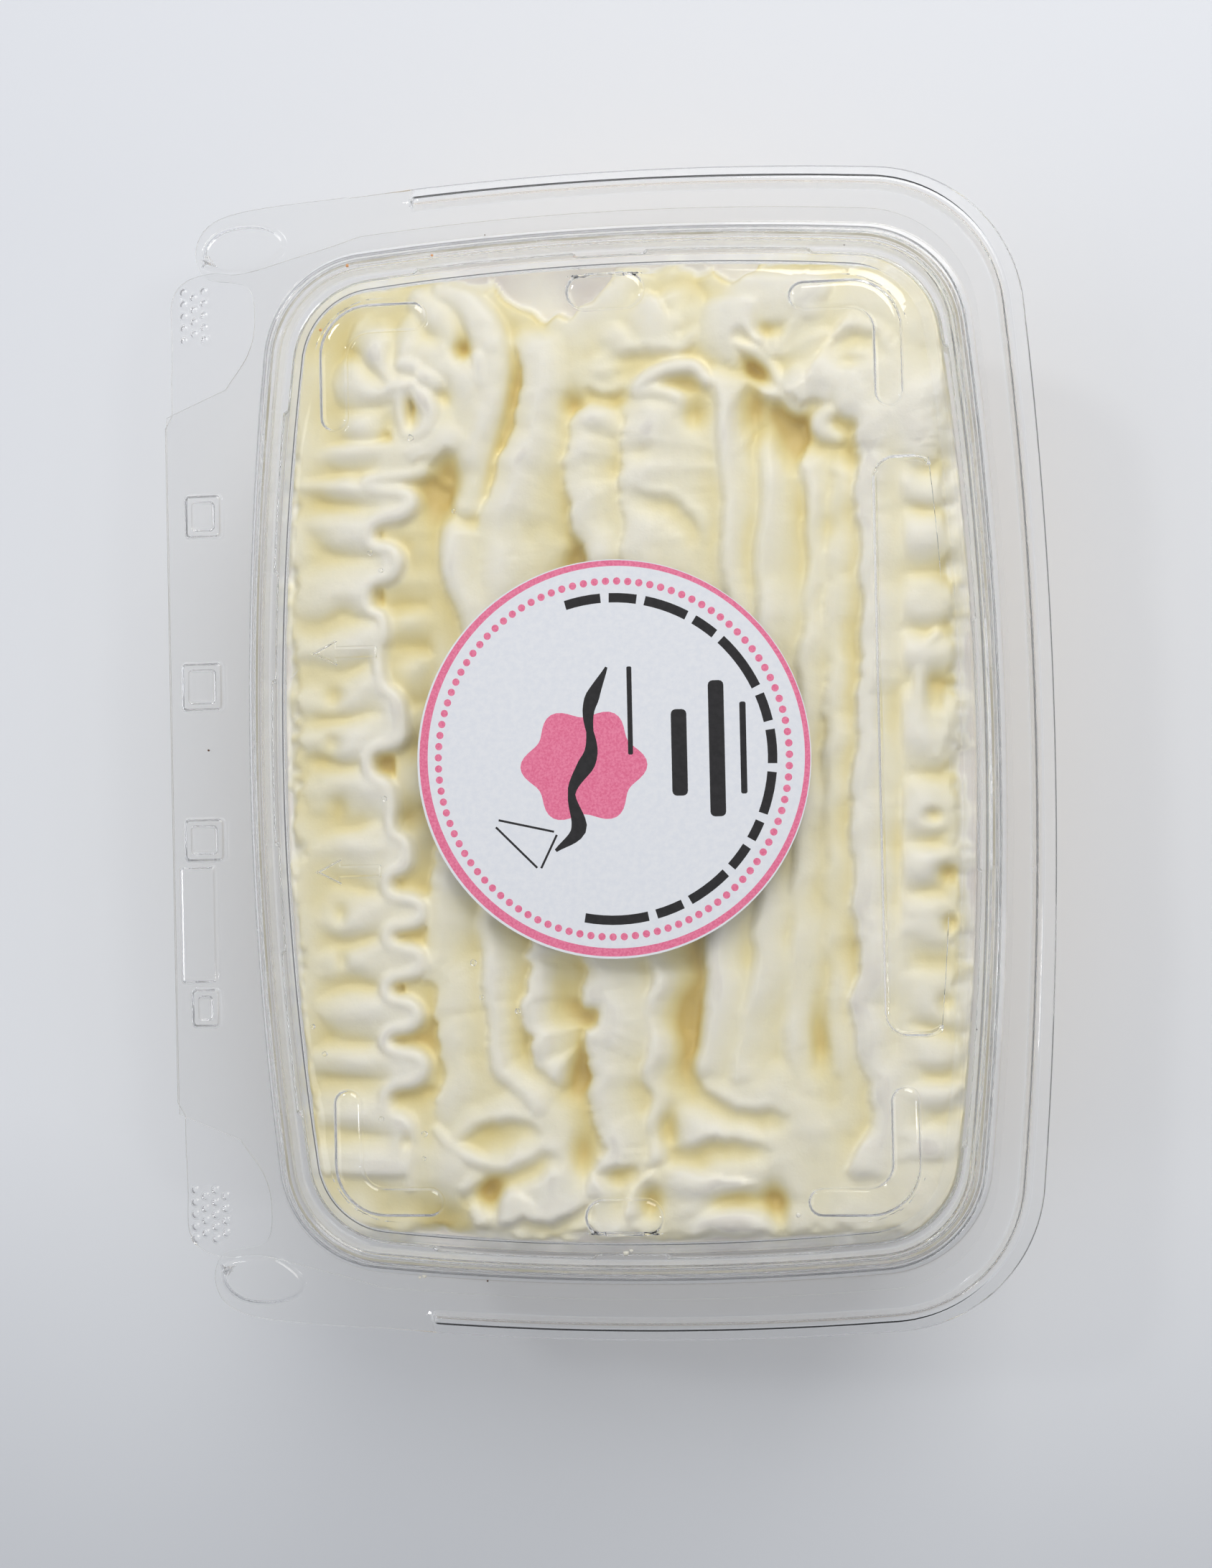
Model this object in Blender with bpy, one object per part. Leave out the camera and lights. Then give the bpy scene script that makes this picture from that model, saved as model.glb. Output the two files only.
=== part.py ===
"""Rectangular tres leches cake with piped whipped cream, shut in a clear hinged pack.

Metres, +Z up. The origin is the middle of the pack's underside. +Y runs along the pack's
length, and the folded hinge strip is on the -X side. The lid's own origin is on the fold.
"""
import math

import bmesh
import bpy
from mathutils import Vector, noise

MM = 0.001

# Driving dimensions of the pack
HALF_X = 69.1 * MM          # middle to the tray's cut edge on the +X side
HALF_Y = 94.0 * MM          # middle to the tray's cut edge at each end
SIDE_RADIUS = 750 * MM      # the long sides bow out a little
END_RADIUS = 540 * MM       # and so do the ends
CORNER_RADIUS = 25 * MM
FLANGE_Z = 42 * MM          # height of the rim that both halves share
WALL = 0.5 * MM             # thickness of the formed sheet
GAP = 0.3 * MM              # between pieces that touch
CORNER_STEPS = 8

# The inner rings bow more and have tighter corners than the outer ones
SIDE_RADIUS_PER_INSET = 19.0
END_RADIUS_PER_INSET = 10.0
CORNER_RADIUS_PER_INSET = 0.88

# Hinge strip on the -X side
HINGE_X = -75.0 * MM        # the fold, which is the lid's axis
STRIP_X = HINGE_X + GAP / 2
STRIP_Z = -1.2 * MM         # the tray's flat strip, from the flange height
HINGE_Z = FLANGE_Z + STRIP_Z + GAP / 2
STRIP_HALF_LENGTH = 57.4 * MM

# Pockets pressed outward in the tray's wall below the rim, as spans along each side
POCKET_DEPTH = 0.9 * MM
POCKET_RAMP = 0.4 * MM
RIGHT_POCKETS = ((19.8, 63.1),)
LEFT_POCKETS = ((0.0, 13.4), (31.0, 57.4))
END_POCKETS = ((5.8, 32.2),)

# The tray's upper surface, from its cut edge inward to the floor: inset from the cut edge
# at the sides, inset at the ends, and height from the flange, in mm
TRAY_PROFILE = (
    (0.0, 0.0, -1.6),       # cut edge
    (2.0, 2.0, 1.1),        # guard bead
    (3.0, 3.0, 1.1),
    (3.9, 3.9, -1.2),       # trough where the lid's edge lies
    (8.2, 9.7, -1.2),
    (9.0, 10.7, 1.5),       # seal ridge
    (10.1, 11.8, 1.5),
    (10.9, 12.6, -0.9),     # ledge
    (12.4, 14.1, -0.9),
    (12.6, 14.3, -8.0),     # foot of the pockets
    (13.4, 15.1, -9.0),
    (17.0, 18.8, -36.5),    # drafted wall
    (18.2, 20.0, -40.0),
    (21.5, 23.3, -41.5),    # floor
)
TROUGH_ROW = 3
TRAY_NEST = slice(4, 8)     # rows that the lid is pressed over
POCKET_ROWS = (8, 9)

# The lid's lower surface beyond the nest, in the same terms
LID_EDGE = (6.7, 6.7, -0.9)
LID_DOME = (
    (12.7, 14.4, -0.6),
    (14.9, 16.5, 3.3),
    (16.3, 17.9, 4.0),      # panel
)
PANEL_Z = FLANGE_Z + 4.0 * MM + WALL

# Outer edges by the hinge, for the +Y end, in mm: the tray's thumb wing and cut-back,
# and the free end of the lid's strip
WING_EDGE = (
    (-60.0, 91.0), (-67.0, 88.8), (-69.3, 84.5), (-67.6, 80.2),
    (-60.6, 78.4), (-59.4, 73.0), (-60.6, 67.4), (-64.6, 61.6),
)
LID_STRIP_EDGE = (
    (-46.5, 84.0), (-53.0, 82.4), (-58.5, 81.0), (-62.5, 80.4), (-66.4, 80.8),
    (-71.0, 79.6), (-73.3, 76.4), (-73.4, 70.0), (-73.5, 64.0),
)
LID_STRIP_X = -73.6 * MM

# Ribs and ovals pressed up in the lid's panel
RIB_WIDTH = 4.5 * MM
RIB_HEIGHT = 0.8 * MM
BOSS_ROOT = 0.3 * MM        # how deep each is joined into the sheet
RIB_CORNER = (47.0 * MM, 73.4 * MM)
RIB_ARM_X = 15.5 * MM
RIB_ARM_Y = 18.0 * MM
RIB_BEND = 6.0 * MM
OVAL_LENGTH = 12.6 * MM
OVAL_WIDTH = 6.0 * MM
OVAL_Y = 73.6 * MM
ARROW_PLACES = (17.3 * MM, -18.0 * MM)
ARROW_TIP_X = -49.2 * MM
ARROW_LENGTH = 10.6 * MM
ARROW_HEAD = 4.0 * MM
ARROW_HEIGHT = 0.4 * MM

# Label
LABEL_RADIUS = 31.7 * MM
LABEL_THICKNESS = 0.3 * MM
LABEL_CENTRE = (-0.5 * MM, -0.9 * MM)
LABEL_STEPS = 48

# Sponge: rings from its underside up, a little clear of the tray's wall
SPONGE_PROFILE = (
    (22.5, 24.3, -41.1),
    (19.3, 21.1, -39.6),
    (17.9, 19.7, -36.0),
    (15.6, 17.4, -12.5),
    (17.5, 19.3, -10.3),
)
SPONGE_GRAIN = 0.25 * MM
SPONGE_GRAIN_SCALE = 90

# Whipped cream: a spread layer, with piped sheets, ruffles and rolls rooted in it
CREAM_BOTTOM = 32.1 * MM
CREAM_LAYER = 40.3 * MM
CREAM_ROOT = CREAM_LAYER - 2.5 * MM
CREAM_LAYER_RINGS = (       # inset in mm and height, from the underside up
    (15.6, CREAM_BOTTOM),
    (15.0, CREAM_BOTTOM + 1.6 * MM),
    (15.0, CREAM_LAYER - 2.0 * MM),
    (17.2, CREAM_LAYER),
)
CREAM_END_EXTRA = 1.6       # the ends are inset this much more, in mm
BARE_PATCH_X = -12 * MM     # a patch at the +Y end has no cream on it
BARE_PATCH_HALF = 14 * MM
BARE_PATCH_DEPTH = 9 * MM
CREAM_VOXEL = 0.95 * MM
CREAM_FACES = 4700
PIPING_STEP = 1.1 * MM
SHEET_END = 4.0 * MM        # how far from its end a sheet starts to thin
RUFFLE_END = 3.0 * MM

# Piped sheets, in mm. Each has a line of points along its crisp edge, its width from start
# to end, the heights of its edge, crown and far side, and the size, period and raggedness of
# the edge's waves. The sheet lies on the +X side of a line that runs toward -Y.
SHEETS = (
    ("fold", ((-25, 76), (-19, 66), (-21, 54), (-24, 42), (-20, 30)),
     (8, 10, 9), (42.8, 43.3, 41.2), (0.3, 9, 0.1)),
    ("long_fold", ((-17, 70), (-14, 62), (-18, 48), (-22, 35), (-22, 20), (-21, 5), (-24, -26), (-22, -45),
                   (-20, -54), (-10, -62)),
     (10, 13, 14, 10, 9, 7, 6.4, 8), (43.2, 43.4, 40.3), (0.3, 11, 0.1)),
    ("tongue_strand", ((-28, 38), (-28, 30), (-24, 16), (-22, 6)),
     (6.6, 6.6), (42.8, 43.9, 40.6), (0.2, 12, 0.05)),
    ("big_ribbon", ((-28, -6), (-32, -22), (-34, -35), (-31, -40), (-30, -48), (-32, -60), (-28, -63)),
     (6, 10, 10.5, 10, 10), (43.0, 43.4, 41.4), (0.3, 7, 0.35)),
    ("ragged_ribbon", ((-4, 57), (-8, 48), (-8, 43), (-4, 31), (-7, 6), (-14, -28), (-16, -38), (-12, -52),
                       (-6, -56)),
     (9, 10, 10, 9, 6, 6), (43.3, 43.6, 41.2), (0.5, 8, 0.4)),
    ("middle", ((2, 53), (1, 46), (2, 24), (-2, -6), (-6, -33), (-4, -42), (-6, -53), (-4, -64), (-6, -69)),
     (14, 16, 15, 12, 10.5, 11, 10), (43.2, 43.5, 41.4), (0.4, 9, 0.45)),
    ("wavy_strand", ((8, 6), (8, -6), (4, -30), (3, -46), (4, -57), (1, -69)),
     (5, 5.4, 5.2, 5), (43.0, 43.7, 41.4), (0.5, 10, 0.15)),
    ("strand_a", ((14, 65), (16, 54), (17, 26), (16, 5), (13, -34), (10, -50), (7, -56)),
     (7.4, 7.6, 7.6, 7.6), (42.8, 43.9, 41.4), (0.2, 15, 0.05)),
    ("strand_b", ((22, 64), (24, 46), (22, 24), (22, -18), (18, -42), (15, -58)),
     (8.6, 8.4, 8.4, 8.4, 8.8), (42.8, 43.7, 41.2), (0.2, 15, 0.05)),
    ("strand_c", ((28, 58), (30, 40), (30, 26), (28, -6), (25, -40), (26, -61)),
     (6.4, 6.2, 6.2, 7.6, 7.6), (42.6, 43.4, 40.8), (0.25, 12, 0.1)),
    ("strand_d", ((34, 56), (35, 36), (33, 4), (32, -27), (32, -44), (33, -52), (28, -64)),
     (7, 7.2, 7.2, 7.4, 8), (42.7, 42.9, 40.8), (0.3, 10, 0.15)),
    ("main_ribbon", ((34, 56), (40, 49), (39, 41), (40, 24), (38, 4), (38, -27), (36, -41), (38, -50),
                     (40, -59), (35, -68), (32, -72)),
     (8.4, 8.2, 8.4, 8.4, 9), (43.9, 44.3, 42.2), (0.3, 11, 0.15)),
    # folds at the +Y end
    ("end_a", ((18, 62), (11, 68), (2, 73), (-2, 73)), (6, 8, 8, 6), (43.2, 43.4, 41.0), (0.4, 7, 0.2)),
    ("end_b", ((14, 62), (8, 64), (-1, 64)), (4, 5, 4.6), (43.4, 43.6, 41.4), (0.4, 7, 0.2)),
    ("end_c", ((6, 58), (0, 59), (-6, 62)), (4, 5, 4), (43.2, 43.7, 41.2), (0.3, 6, 0.2)),
    ("end_d", ((-6, 56), (0, 54), (6, 53)), (4.4, 5, 4), (42.6, 43.3, 41.2), (0.4, 6, 0.3)),
    ("end_e", ((16, 58), (8, 60), (4, 57), (8, 52)), (4.4, 4.6, 3.4, 3), (43.4, 43.9, 41.6), (0.4, 6, 0.3)),
    ("end_f", ((12, 76), (14, 71), (19, 65)), (5, 5, 4), (42.8, 43.0, 41.0), (0.3, 7, 0.2)),
    ("peak_a", ((24, 74), (25, 68), (30, 64)), (6, 7, 6), (43.4, 43.7, 41.6), (0.4, 7, 0.25)),
    ("peak_b", ((20, 64), (28, 57), (38, 52)), (6, 8, 8, 6), (43.2, 44.3, 42.6), (0.6, 6.5, 0.35)),
    ("peak_c", ((29, 55), (34, 54), (39, 54)), (6, 8, 6), (43.6, 44.5, 43.0), (0.6, 6, 0.35)),
    ("peak_d", ((32, 50), (38, 52)), (4, 4, 4), (42.2, 43.4, 42.6), (0.3, 6, 0.3)),
    ("peak_e", ((48, 61), (40, 66), (31, 64)), (6, 7, 7, 5), (43.4, 43.8, 42.2), (0.4, 7, 0.25)),
    ("peak_f", ((49, 68), (42, 72), (35, 73)), (6, 7, 6), (41.8, 42.5, 41.2), (0.4, 7, 0.25)),
    ("peak_g", ((38, 59), (43, 57), (45, 50)), (7, 6.4, 5), (43.2, 43.6, 42.0), (0.3, 8, 0.2)),
    # folds at the -Y end
    ("foot_a", ((-30, -62), (-22, -66), (-12, -62)), (5, 7, 7, 4), (43.2, 43.7, 41.8), (0.3, 7, 0.2)),
    ("foot_b", ((-28, -70), (-25, -75), (-20, -76)), (6, 6, 5), (42.2, 42.8, 41.0), (0.3, 7, 0.3)),
    ("foot_c", ((-28, -70), (-19, -68), (-11, -64)), (3.6, 4, 3), (43.4, 43.7, 42.0), (0.3, 7, 0.2)),
    ("foot_d", ((-20, -76), (-14, -74), (-8, -72)), (6, 8, 9, 8), (43.4, 43.9, 42.2), (0.4, 6, 0.35)),
    ("foot_e", ((30, -62), (17, -57), (8, -52)), (6, 7, 6.4, 5), (43.2, 43.7, 41.6), (0.3, 8, 0.2)),
    ("foot_f", ((32, -66), (20, -62), (8, -63), (6, -66)), (7, 8, 8, 6), (43.4, 43.9, 42.0), (0.3, 8, 0.2)),
    ("foot_g", ((12, -76), (18, -76), (24, -76)), (5, 6, 4.6), (42.4, 42.9, 41.4), (0.3, 8, 0.2)),
    ("foot_h", ((5, -68), (7, -72), (9, -76)), (8, 7, 6), (42.8, 43.1, 41.0), (0.4, 6, 0.35)),
    ("foot_i", ((24, -70), (29, -74), (35, -72)), (6, 8, 8, 6), (43.4, 43.9, 42.8), (0.3, 8, 0.2)),
)

# Pleated ruffles, in mm. Each has the middle line of its snaking lip, how far it reaches from
# there, the heights of its lip, pleats and outer edge, the size of the snaking from start to
# end, and the period of the pleats.
RUFFLES = (
    ("left_ruffle", ((-36, 49), (-38, 32), (-38, 20), (-36, -5), (-36, -40), (-36, -68)),
     -12.5, (43.6, 42.4, 41.6), (2.2, 3.0, 1.6, 1.4, 2.2, 3.0, 3.0, 1.2), 9.2),
    ("right_ruffle", ((42, 63), (44.5, 46), (46, 20), (46, 0), (44, -41), (43, -54), (39, -69)),
     6.6, (42.6, 42.9, 41.8), (0.3, 0.3), 8.6),
)
LIP_WIDTH = 1.9 * MM

# Rolls and petals, in mm: middle line, half width, and heights of the top from start to end
ROLLS = (
    ("tongue", ((-36, 60), (-32, 58), (-32, 54), (-35, 54), (-34, 58)), 1.4, (43.6, 44.2, 43.0, 44.0)),
    ("petal_a", ((-47, 59), (-42, 59), (-35, 60)), 3.4, (41.4, 42.6, 43.3)),
    ("petal_b", ((-45, 65), (-40, 66), (-34, 62)), 3.6, (41.4, 42.4, 43.3)),
    ("petal_c", ((-41, 70), (-37, 69), (-33, 63)), 3.8, (41.4, 42.4, 43.5)),
    ("petal_d", ((-34, 74), (-33, 70), (-30, 62)), 4.4, (41.4, 42.4, 43.7)),
    ("petal_e", ((-26, 74), (-26, 68), (-28, 62)), 4.6, (41.8, 42.8, 43.3)),
    ("petal_f", ((-48, 52), (-42, 52), (-36, 53)), 3.6, (41.6, 42.5, 42.9)),
    ("heart", ((-30, 64), (-25, 60), (-25, 53)), 4.4, (43.5, 43.9, 43.2)),
    ("rim", ((-35, 46), (-32, 49), (-27, 49), (-24, 46)), 2.0, (42.8, 43.7, 43.7, 42.6)),
    ("curl", ((12, -76), (12, -73), (17, -70), (24, -69), (27, -73), (30, -74)),
     1.7, (42.6, 43.8, 44.0, 43.8, 43.0)),
    ("ruffle_foot", ((-44, -60), (-43, -64), (-42, -69)), 5.4, (42.2, 42.4, 41.8)),
)
ROLL_FLATNESS = 0.8


def new_object(name, mesh, colour, roughness, alpha=1.0):
    """Links a mesh as a named object with a material of its own."""
    material = bpy.data.materials.new(name)
    material.use_nodes = True
    shader = material.node_tree.nodes["Principled BSDF"]
    shader.inputs["Base Color"].default_value = (*colour, 1.0)
    shader.inputs["Roughness"].default_value = roughness
    shader.inputs["Alpha"].default_value = alpha
    mesh.materials.append(material)
    piece = bpy.data.objects.new(name, mesh)
    bpy.context.scene.collection.objects.link(piece)
    return piece


def mesh_from(name, points, faces, crease=None):
    """A mesh from points and faces, with its faces turned outward."""
    mesh = bpy.data.meshes.new(name)
    mesh.from_pydata(points, [], faces)
    turned = bmesh.new()
    turned.from_mesh(mesh)
    bmesh.ops.recalc_face_normals(turned, faces=turned.faces)
    turned.to_mesh(mesh)
    turned.free()
    if crease is not None:
        mesh.shade_smooth()
        mesh.set_sharp_from_angle(angle=math.radians(crease))
    return mesh


def edge_pairs(spans):
    """Stations just outside and just inside each end of each span, in metres."""
    ramp = POCKET_RAMP
    stations = []
    for start, end in spans:
        if start > 0:
            stations += [start * MM - ramp, start * MM + ramp]
        stations += [end * MM - ramp, end * MM + ramp]
    return stations


def quadrant(half_x, half_y, side_radius, end_radius, corner_radius, side_stations, end_stations):
    """A quarter of the outline from +X round to +Y: side arc, corner arc and end arc."""
    side_centre = Vector((half_x - side_radius, 0.0))
    end_centre = Vector((0.0, half_y - end_radius))
    to_side = side_radius - corner_radius
    to_end = end_radius - corner_radius
    apart = end_centre - side_centre
    along = (to_side ** 2 - to_end ** 2 + apart.length_squared) / (2 * apart.length)
    across = math.sqrt(to_side ** 2 - along ** 2)
    unit = apart.normalized()
    corner = side_centre + unit * along + Vector((unit.y, -unit.x)) * across
    if corner.x < 0 or corner.y < 0:
        corner = side_centre + unit * along - Vector((unit.y, -unit.x)) * across
    first = (corner - side_centre).angle_signed(Vector((1.0, 0.0)))
    last = (corner - end_centre).angle_signed(Vector((1.0, 0.0)))
    points = []
    for y in side_stations:
        points.append((side_centre.x + math.sqrt(side_radius ** 2 - y * y), y))
    for step in range(CORNER_STEPS + 1):
        angle = first + (last - first) * step / CORNER_STEPS
        points.append((corner.x + corner_radius * math.cos(angle), corner.y + corner_radius * math.sin(angle)))
    for x in reversed(end_stations):
        points.append((x, end_centre.y + math.sqrt(end_radius ** 2 - x * x)))
    return points


def outline(side_inset, end_inset):
    """One closed ring, anticlockwise from the middle of the +X side, at these insets in mm."""
    sizes = (
        HALF_X - side_inset * MM,
        HALF_Y - end_inset * MM,
        SIDE_RADIUS - side_inset * MM * SIDE_RADIUS_PER_INSET,
        END_RADIUS - side_inset * MM * END_RADIUS_PER_INSET,
        CORNER_RADIUS - side_inset * MM * CORNER_RADIUS_PER_INSET,
    )
    ends = edge_pairs(END_POCKETS)
    right = quadrant(*sizes, edge_pairs(RIGHT_POCKETS), ends)
    left = quadrant(*sizes, edge_pairs(LEFT_POCKETS), ends)
    end_y = sizes[1]
    ring = [(sizes[0], 0.0)]
    ring += right
    ring.append((0.0, end_y))
    ring += [(-x, y) for x, y in reversed(left)]
    ring.append((-sizes[0], 0.0))
    ring += [(-x, -y) for x, y in left]
    ring.append((0.0, -end_y))
    ring += [(x, -y) for x, y in reversed(right)]
    return ring


def hinge_side():
    """Indices of a ring's hinge-side points: those on both -X corners, and those between."""
    right_count = len(edge_pairs(RIGHT_POCKETS)) + CORNER_STEPS + 1 + len(edge_pairs(END_POCKETS))
    top_middle = 1 + right_count
    corner_start = top_middle + 1 + len(edge_pairs(END_POCKETS))
    corner = list(range(corner_start, corner_start + CORNER_STEPS + 1))
    side_count = 2 * len(edge_pairs(LEFT_POCKETS)) + 1
    side = list(range(corner[-1] + 1, corner[-1] + 1 + side_count))
    far_corner = list(range(side[-1] + 1, side[-1] + 2 + CORNER_STEPS))
    return corner, side, far_corner[::-1]


def offset_profile(rows, distance):
    """The profile moved square to itself by a distance in mm, up if it is positive."""
    moved = []
    for index, (side, end, z) in enumerate(rows):
        normals = []
        for other in (index - 1, index):
            if 0 <= other < len(rows) - 1:
                run = rows[other + 1][0] - rows[other][0]
                rise = rows[other + 1][2] - rows[other][2]
                normals.append(Vector((-rise, run)).normalized())
        mean = sum(normals, Vector((0.0, 0.0))).normalized()
        mitre = distance / mean.dot(normals[0])
        moved.append((side + mean.x * mitre, end + mean.x * mitre, z + mean.y * mitre))
    return moved


def lofted(name, rings, crease):
    """A closed shell through the rings in order, capped at its first and last ring."""
    count = len(rings[0])
    points = [point for ring in rings for point in ring]
    faces = []
    for level in range(len(rings) - 1):
        for index in range(count):
            after = (index + 1) % count
            low = level * count
            high = low + count
            faces.append((low + index, low + after, high + after, high + index))
    faces.append(tuple(range(count))[::-1])
    faces.append(tuple(range((len(rings) - 1) * count, len(rings) * count)))
    return mesh_from(name, points, faces, crease)


def in_pocket(x, y, is_side):
    """Whether a wall point lies inside one of the pockets."""
    if is_side:
        spans = LEFT_POCKETS if x < 0 else RIGHT_POCKETS
        place = abs(y)
    else:
        spans = END_POCKETS
        place = abs(x)
    return any((start == 0 or place >= start * MM) and place <= end * MM for start, end in spans)


def tray_ring(row, profile_row, z_shift):
    """One ring of the tray, with its pockets, thumb wings, cut-backs and hinge strip."""
    side, end, z = profile_row
    plain = outline(side, end)
    height = FLANGE_Z + z * MM
    ring = [Vector((x, y, height)) for x, y in plain]
    if row in POCKET_ROWS:
        pocket = outline(side - POCKET_DEPTH / MM, end - POCKET_DEPTH / MM)
        for index, (x, y) in enumerate(plain):
            is_side = abs(y) < HALF_Y - CORNER_RADIUS
            straight = is_side or abs(x) < HALF_X - CORNER_RADIUS
            if straight and in_pocket(x, y, is_side):
                ring[index] = Vector((*pocket[index], height))
    if row > TROUGH_ROW:
        return ring
    flat = FLANGE_Z + STRIP_Z + z_shift
    inner = outline(*TRAY_PROFILE[TROUGH_ROW + 1][:2])
    share = row / (TROUGH_ROW + 1)
    top_corner, left, bottom_corner = hinge_side()
    for corner, sign in ((top_corner, 1), (bottom_corner, -1)):
        for step, index in enumerate(corner[1:]):
            edge = Vector((WING_EDGE[step][0] * MM, WING_EDGE[step][1] * MM * sign))
            ring[index] = Vector((*edge.lerp(Vector(inner[index]), share), flat))
    for index in left:
        y = plain[index][1]
        outer = STRIP_X if abs(y) < STRIP_HALF_LENGTH else WING_EDGE[-1][0] * MM - 0.5 * MM
        foot = Vector(inner[index])
        edge = Vector((outer, foot.y))
        ring[index] = Vector((*edge.lerp(foot, share), flat))
    return ring


def make_tray():
    """The base: cut edge, guard bead, trough, seal ridge, wall with pockets, and floor."""
    upper = TRAY_PROFILE
    lower = offset_profile(upper, -WALL / MM)
    lower[0] = (0.0, 0.0, upper[0][2] - WALL / MM)
    rings = [tray_ring(row, lower[row], -WALL) for row in reversed(range(len(lower)))]
    rings += [tray_ring(row, upper[row], 0.0) for row in range(len(upper))]
    return new_object("tray", lofted("tray", rings, 35), (0.86, 0.90, 0.88), 0.05, 0.2)


def lid_profile():
    """The lid's lower surface: cut edge, nest over the seal ridge, and dome."""
    nest = offset_profile(TRAY_PROFILE, GAP / MM)[TRAY_NEST]
    return [LID_EDGE, *nest, *LID_DOME]


def lid_ring(row, profile_row):
    """One ring of the lid, whose cut edge runs out to the hinge strip."""
    side, end, z = profile_row
    height = FLANGE_Z + z * MM
    ring = [Vector((x, y, height)) for x, y in outline(side, end)]
    if row:
        return ring
    top_corner, left, bottom_corner = hinge_side()
    for corner, sign in ((top_corner, 1), (bottom_corner, -1)):
        for step, index in enumerate(corner):
            x, y = LID_STRIP_EDGE[step]
            ring[index] = Vector((x * MM, y * MM * sign, height))
    for index in left:
        inside = abs(ring[index].y) < STRIP_HALF_LENGTH
        ring[index].x = STRIP_X if inside else LID_STRIP_X
    return ring


def stadium(length, width, steps=6):
    """A slot outline along X, round at both ends."""
    radius = width / 2
    reach = length / 2 - radius
    points = []
    for side, centre in ((0, reach), (1, -reach)):
        for step in range(steps + 1):
            angle = -math.pi / 2 + math.pi * (side + step / steps)
            points.append((centre + radius * math.cos(angle), radius * math.sin(angle)))
    return points


def corner_rib(sign_x, sign_y):
    """An L-shaped rib outline that follows one corner of the panel."""
    bend_steps = 4
    tip_steps = 4
    half = RIB_WIDTH / 2
    corner_x, corner_y = RIB_CORNER[0] - half, RIB_CORNER[1] - half
    centre = Vector((corner_x - RIB_BEND, corner_y - RIB_BEND))
    end_x = corner_x - RIB_ARM_X + half
    end_y = corner_y - RIB_ARM_Y + half
    points = []
    for step in range(bend_steps + 1):
        angle = math.pi / 2 * step / bend_steps
        points.append(centre + Vector((math.cos(angle), math.sin(angle))) * (RIB_BEND + half))
    for step in range(tip_steps + 1):
        angle = math.pi / 2 + math.pi * step / tip_steps
        points.append(Vector((end_x, corner_y)) + Vector((math.cos(angle), math.sin(angle))) * half)
    for step in range(bend_steps + 1):
        angle = math.pi / 2 * (1 - step / bend_steps)
        points.append(centre + Vector((math.cos(angle), math.sin(angle))) * (RIB_BEND - half))
    for step in range(tip_steps + 1):
        angle = math.pi + math.pi * step / tip_steps
        points.append(Vector((corner_x, end_y)) + Vector((math.cos(angle), math.sin(angle))) * half)
    return [(point.x * sign_x, point.y * sign_y) for point in points]


def arrow(y):
    """A broad arrow outline that points at the hinge strip."""
    half = ARROW_HEAD / 2
    stem = half * 0.45
    neck = ARROW_TIP_X + ARROW_HEAD
    tail = ARROW_TIP_X + ARROW_LENGTH
    return [(ARROW_TIP_X, y), (neck, y - half), (neck, y - stem), (tail, y - stem),
            (tail, y + stem), (neck, y + stem), (neck, y + half)]


def raised(name, points, height):
    """A low upright boss on the panel, rooted inside the sheet."""
    count = len(points)
    low = [(*point, PANEL_Z - BOSS_ROOT) for point in points]
    high = [(*point, PANEL_Z + height) for point in points]
    area = sum(a[0] * b[1] - b[0] * a[1] for a, b in zip(points, points[1:] + points[:1]))
    mesh = bpy.data.meshes.new(name)
    order = range(count) if area > 0 else range(count)[::-1]
    faces = [tuple(order)[::-1], tuple(index + count for index in order)]
    for index in range(count):
        after = (index + 1) % count
        side = (index, after, after + count, index + count)
        faces.append(side if area > 0 else side[::-1])
    mesh.from_pydata([Vector(point) for point in low + high], [], faces)
    mesh.update()
    piece = bpy.data.objects.new(name, mesh)
    bpy.context.scene.collection.objects.link(piece)
    return piece


def make_lid():
    """The lid: strip and flange, seal bead, dome and panel, with its ribs joined on."""
    lower = lid_profile()
    upper = offset_profile(lower, WALL / MM)
    upper[0] = (LID_EDGE[0], LID_EDGE[1], LID_EDGE[2] + WALL / MM)
    rings = [lid_ring(row, lower[row]) for row in reversed(range(len(lower)))]
    rings += [lid_ring(row, upper[row]) for row in range(len(upper))]
    lid = new_object("lid", lofted("lid", rings, 35), (0.88, 0.92, 0.90), 0.05, 0.2)
    ribs = bpy.data.collections.new("ribs")
    bosses = []
    for sign_x in (1, -1):
        for sign_y in (1, -1):
            bosses.append(raised("rib", corner_rib(sign_x, sign_y), RIB_HEIGHT))
    for sign_y in (1, -1):
        slot = [(x, y + OVAL_Y * sign_y) for x, y in stadium(OVAL_LENGTH, OVAL_WIDTH)]
        bosses.append(raised("oval", slot, RIB_HEIGHT))
    for y in ARROW_PLACES:
        bosses.append(raised("arrow", arrow(y), ARROW_HEIGHT))
    for boss in bosses:
        bpy.context.scene.collection.objects.unlink(boss)
        ribs.objects.link(boss)
    join_collection(lid, ribs)
    move_origin(lid, Vector((HINGE_X, 0.0, HINGE_Z)))
    return lid


def join_collection(piece, collection):
    """Joins a collection's solids to a piece by one exact Boolean union."""
    union = piece.modifiers.new("union", "BOOLEAN")
    union.operation = "UNION"
    union.solver = "EXACT"
    union.operand_type = "COLLECTION"
    union.collection = collection
    apply_modifiers(piece)
    for part in list(collection.objects):
        bpy.data.objects.remove(part)
    bpy.data.collections.remove(collection)


def apply_modifiers(piece):
    """Replaces a piece's mesh by its evaluated one, without modifiers."""
    graph = bpy.context.evaluated_depsgraph_get()
    graph.update()
    shaped = bpy.data.meshes.new_from_object(piece.evaluated_get(graph))
    piece.modifiers.clear()
    piece.data = shaped


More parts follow.
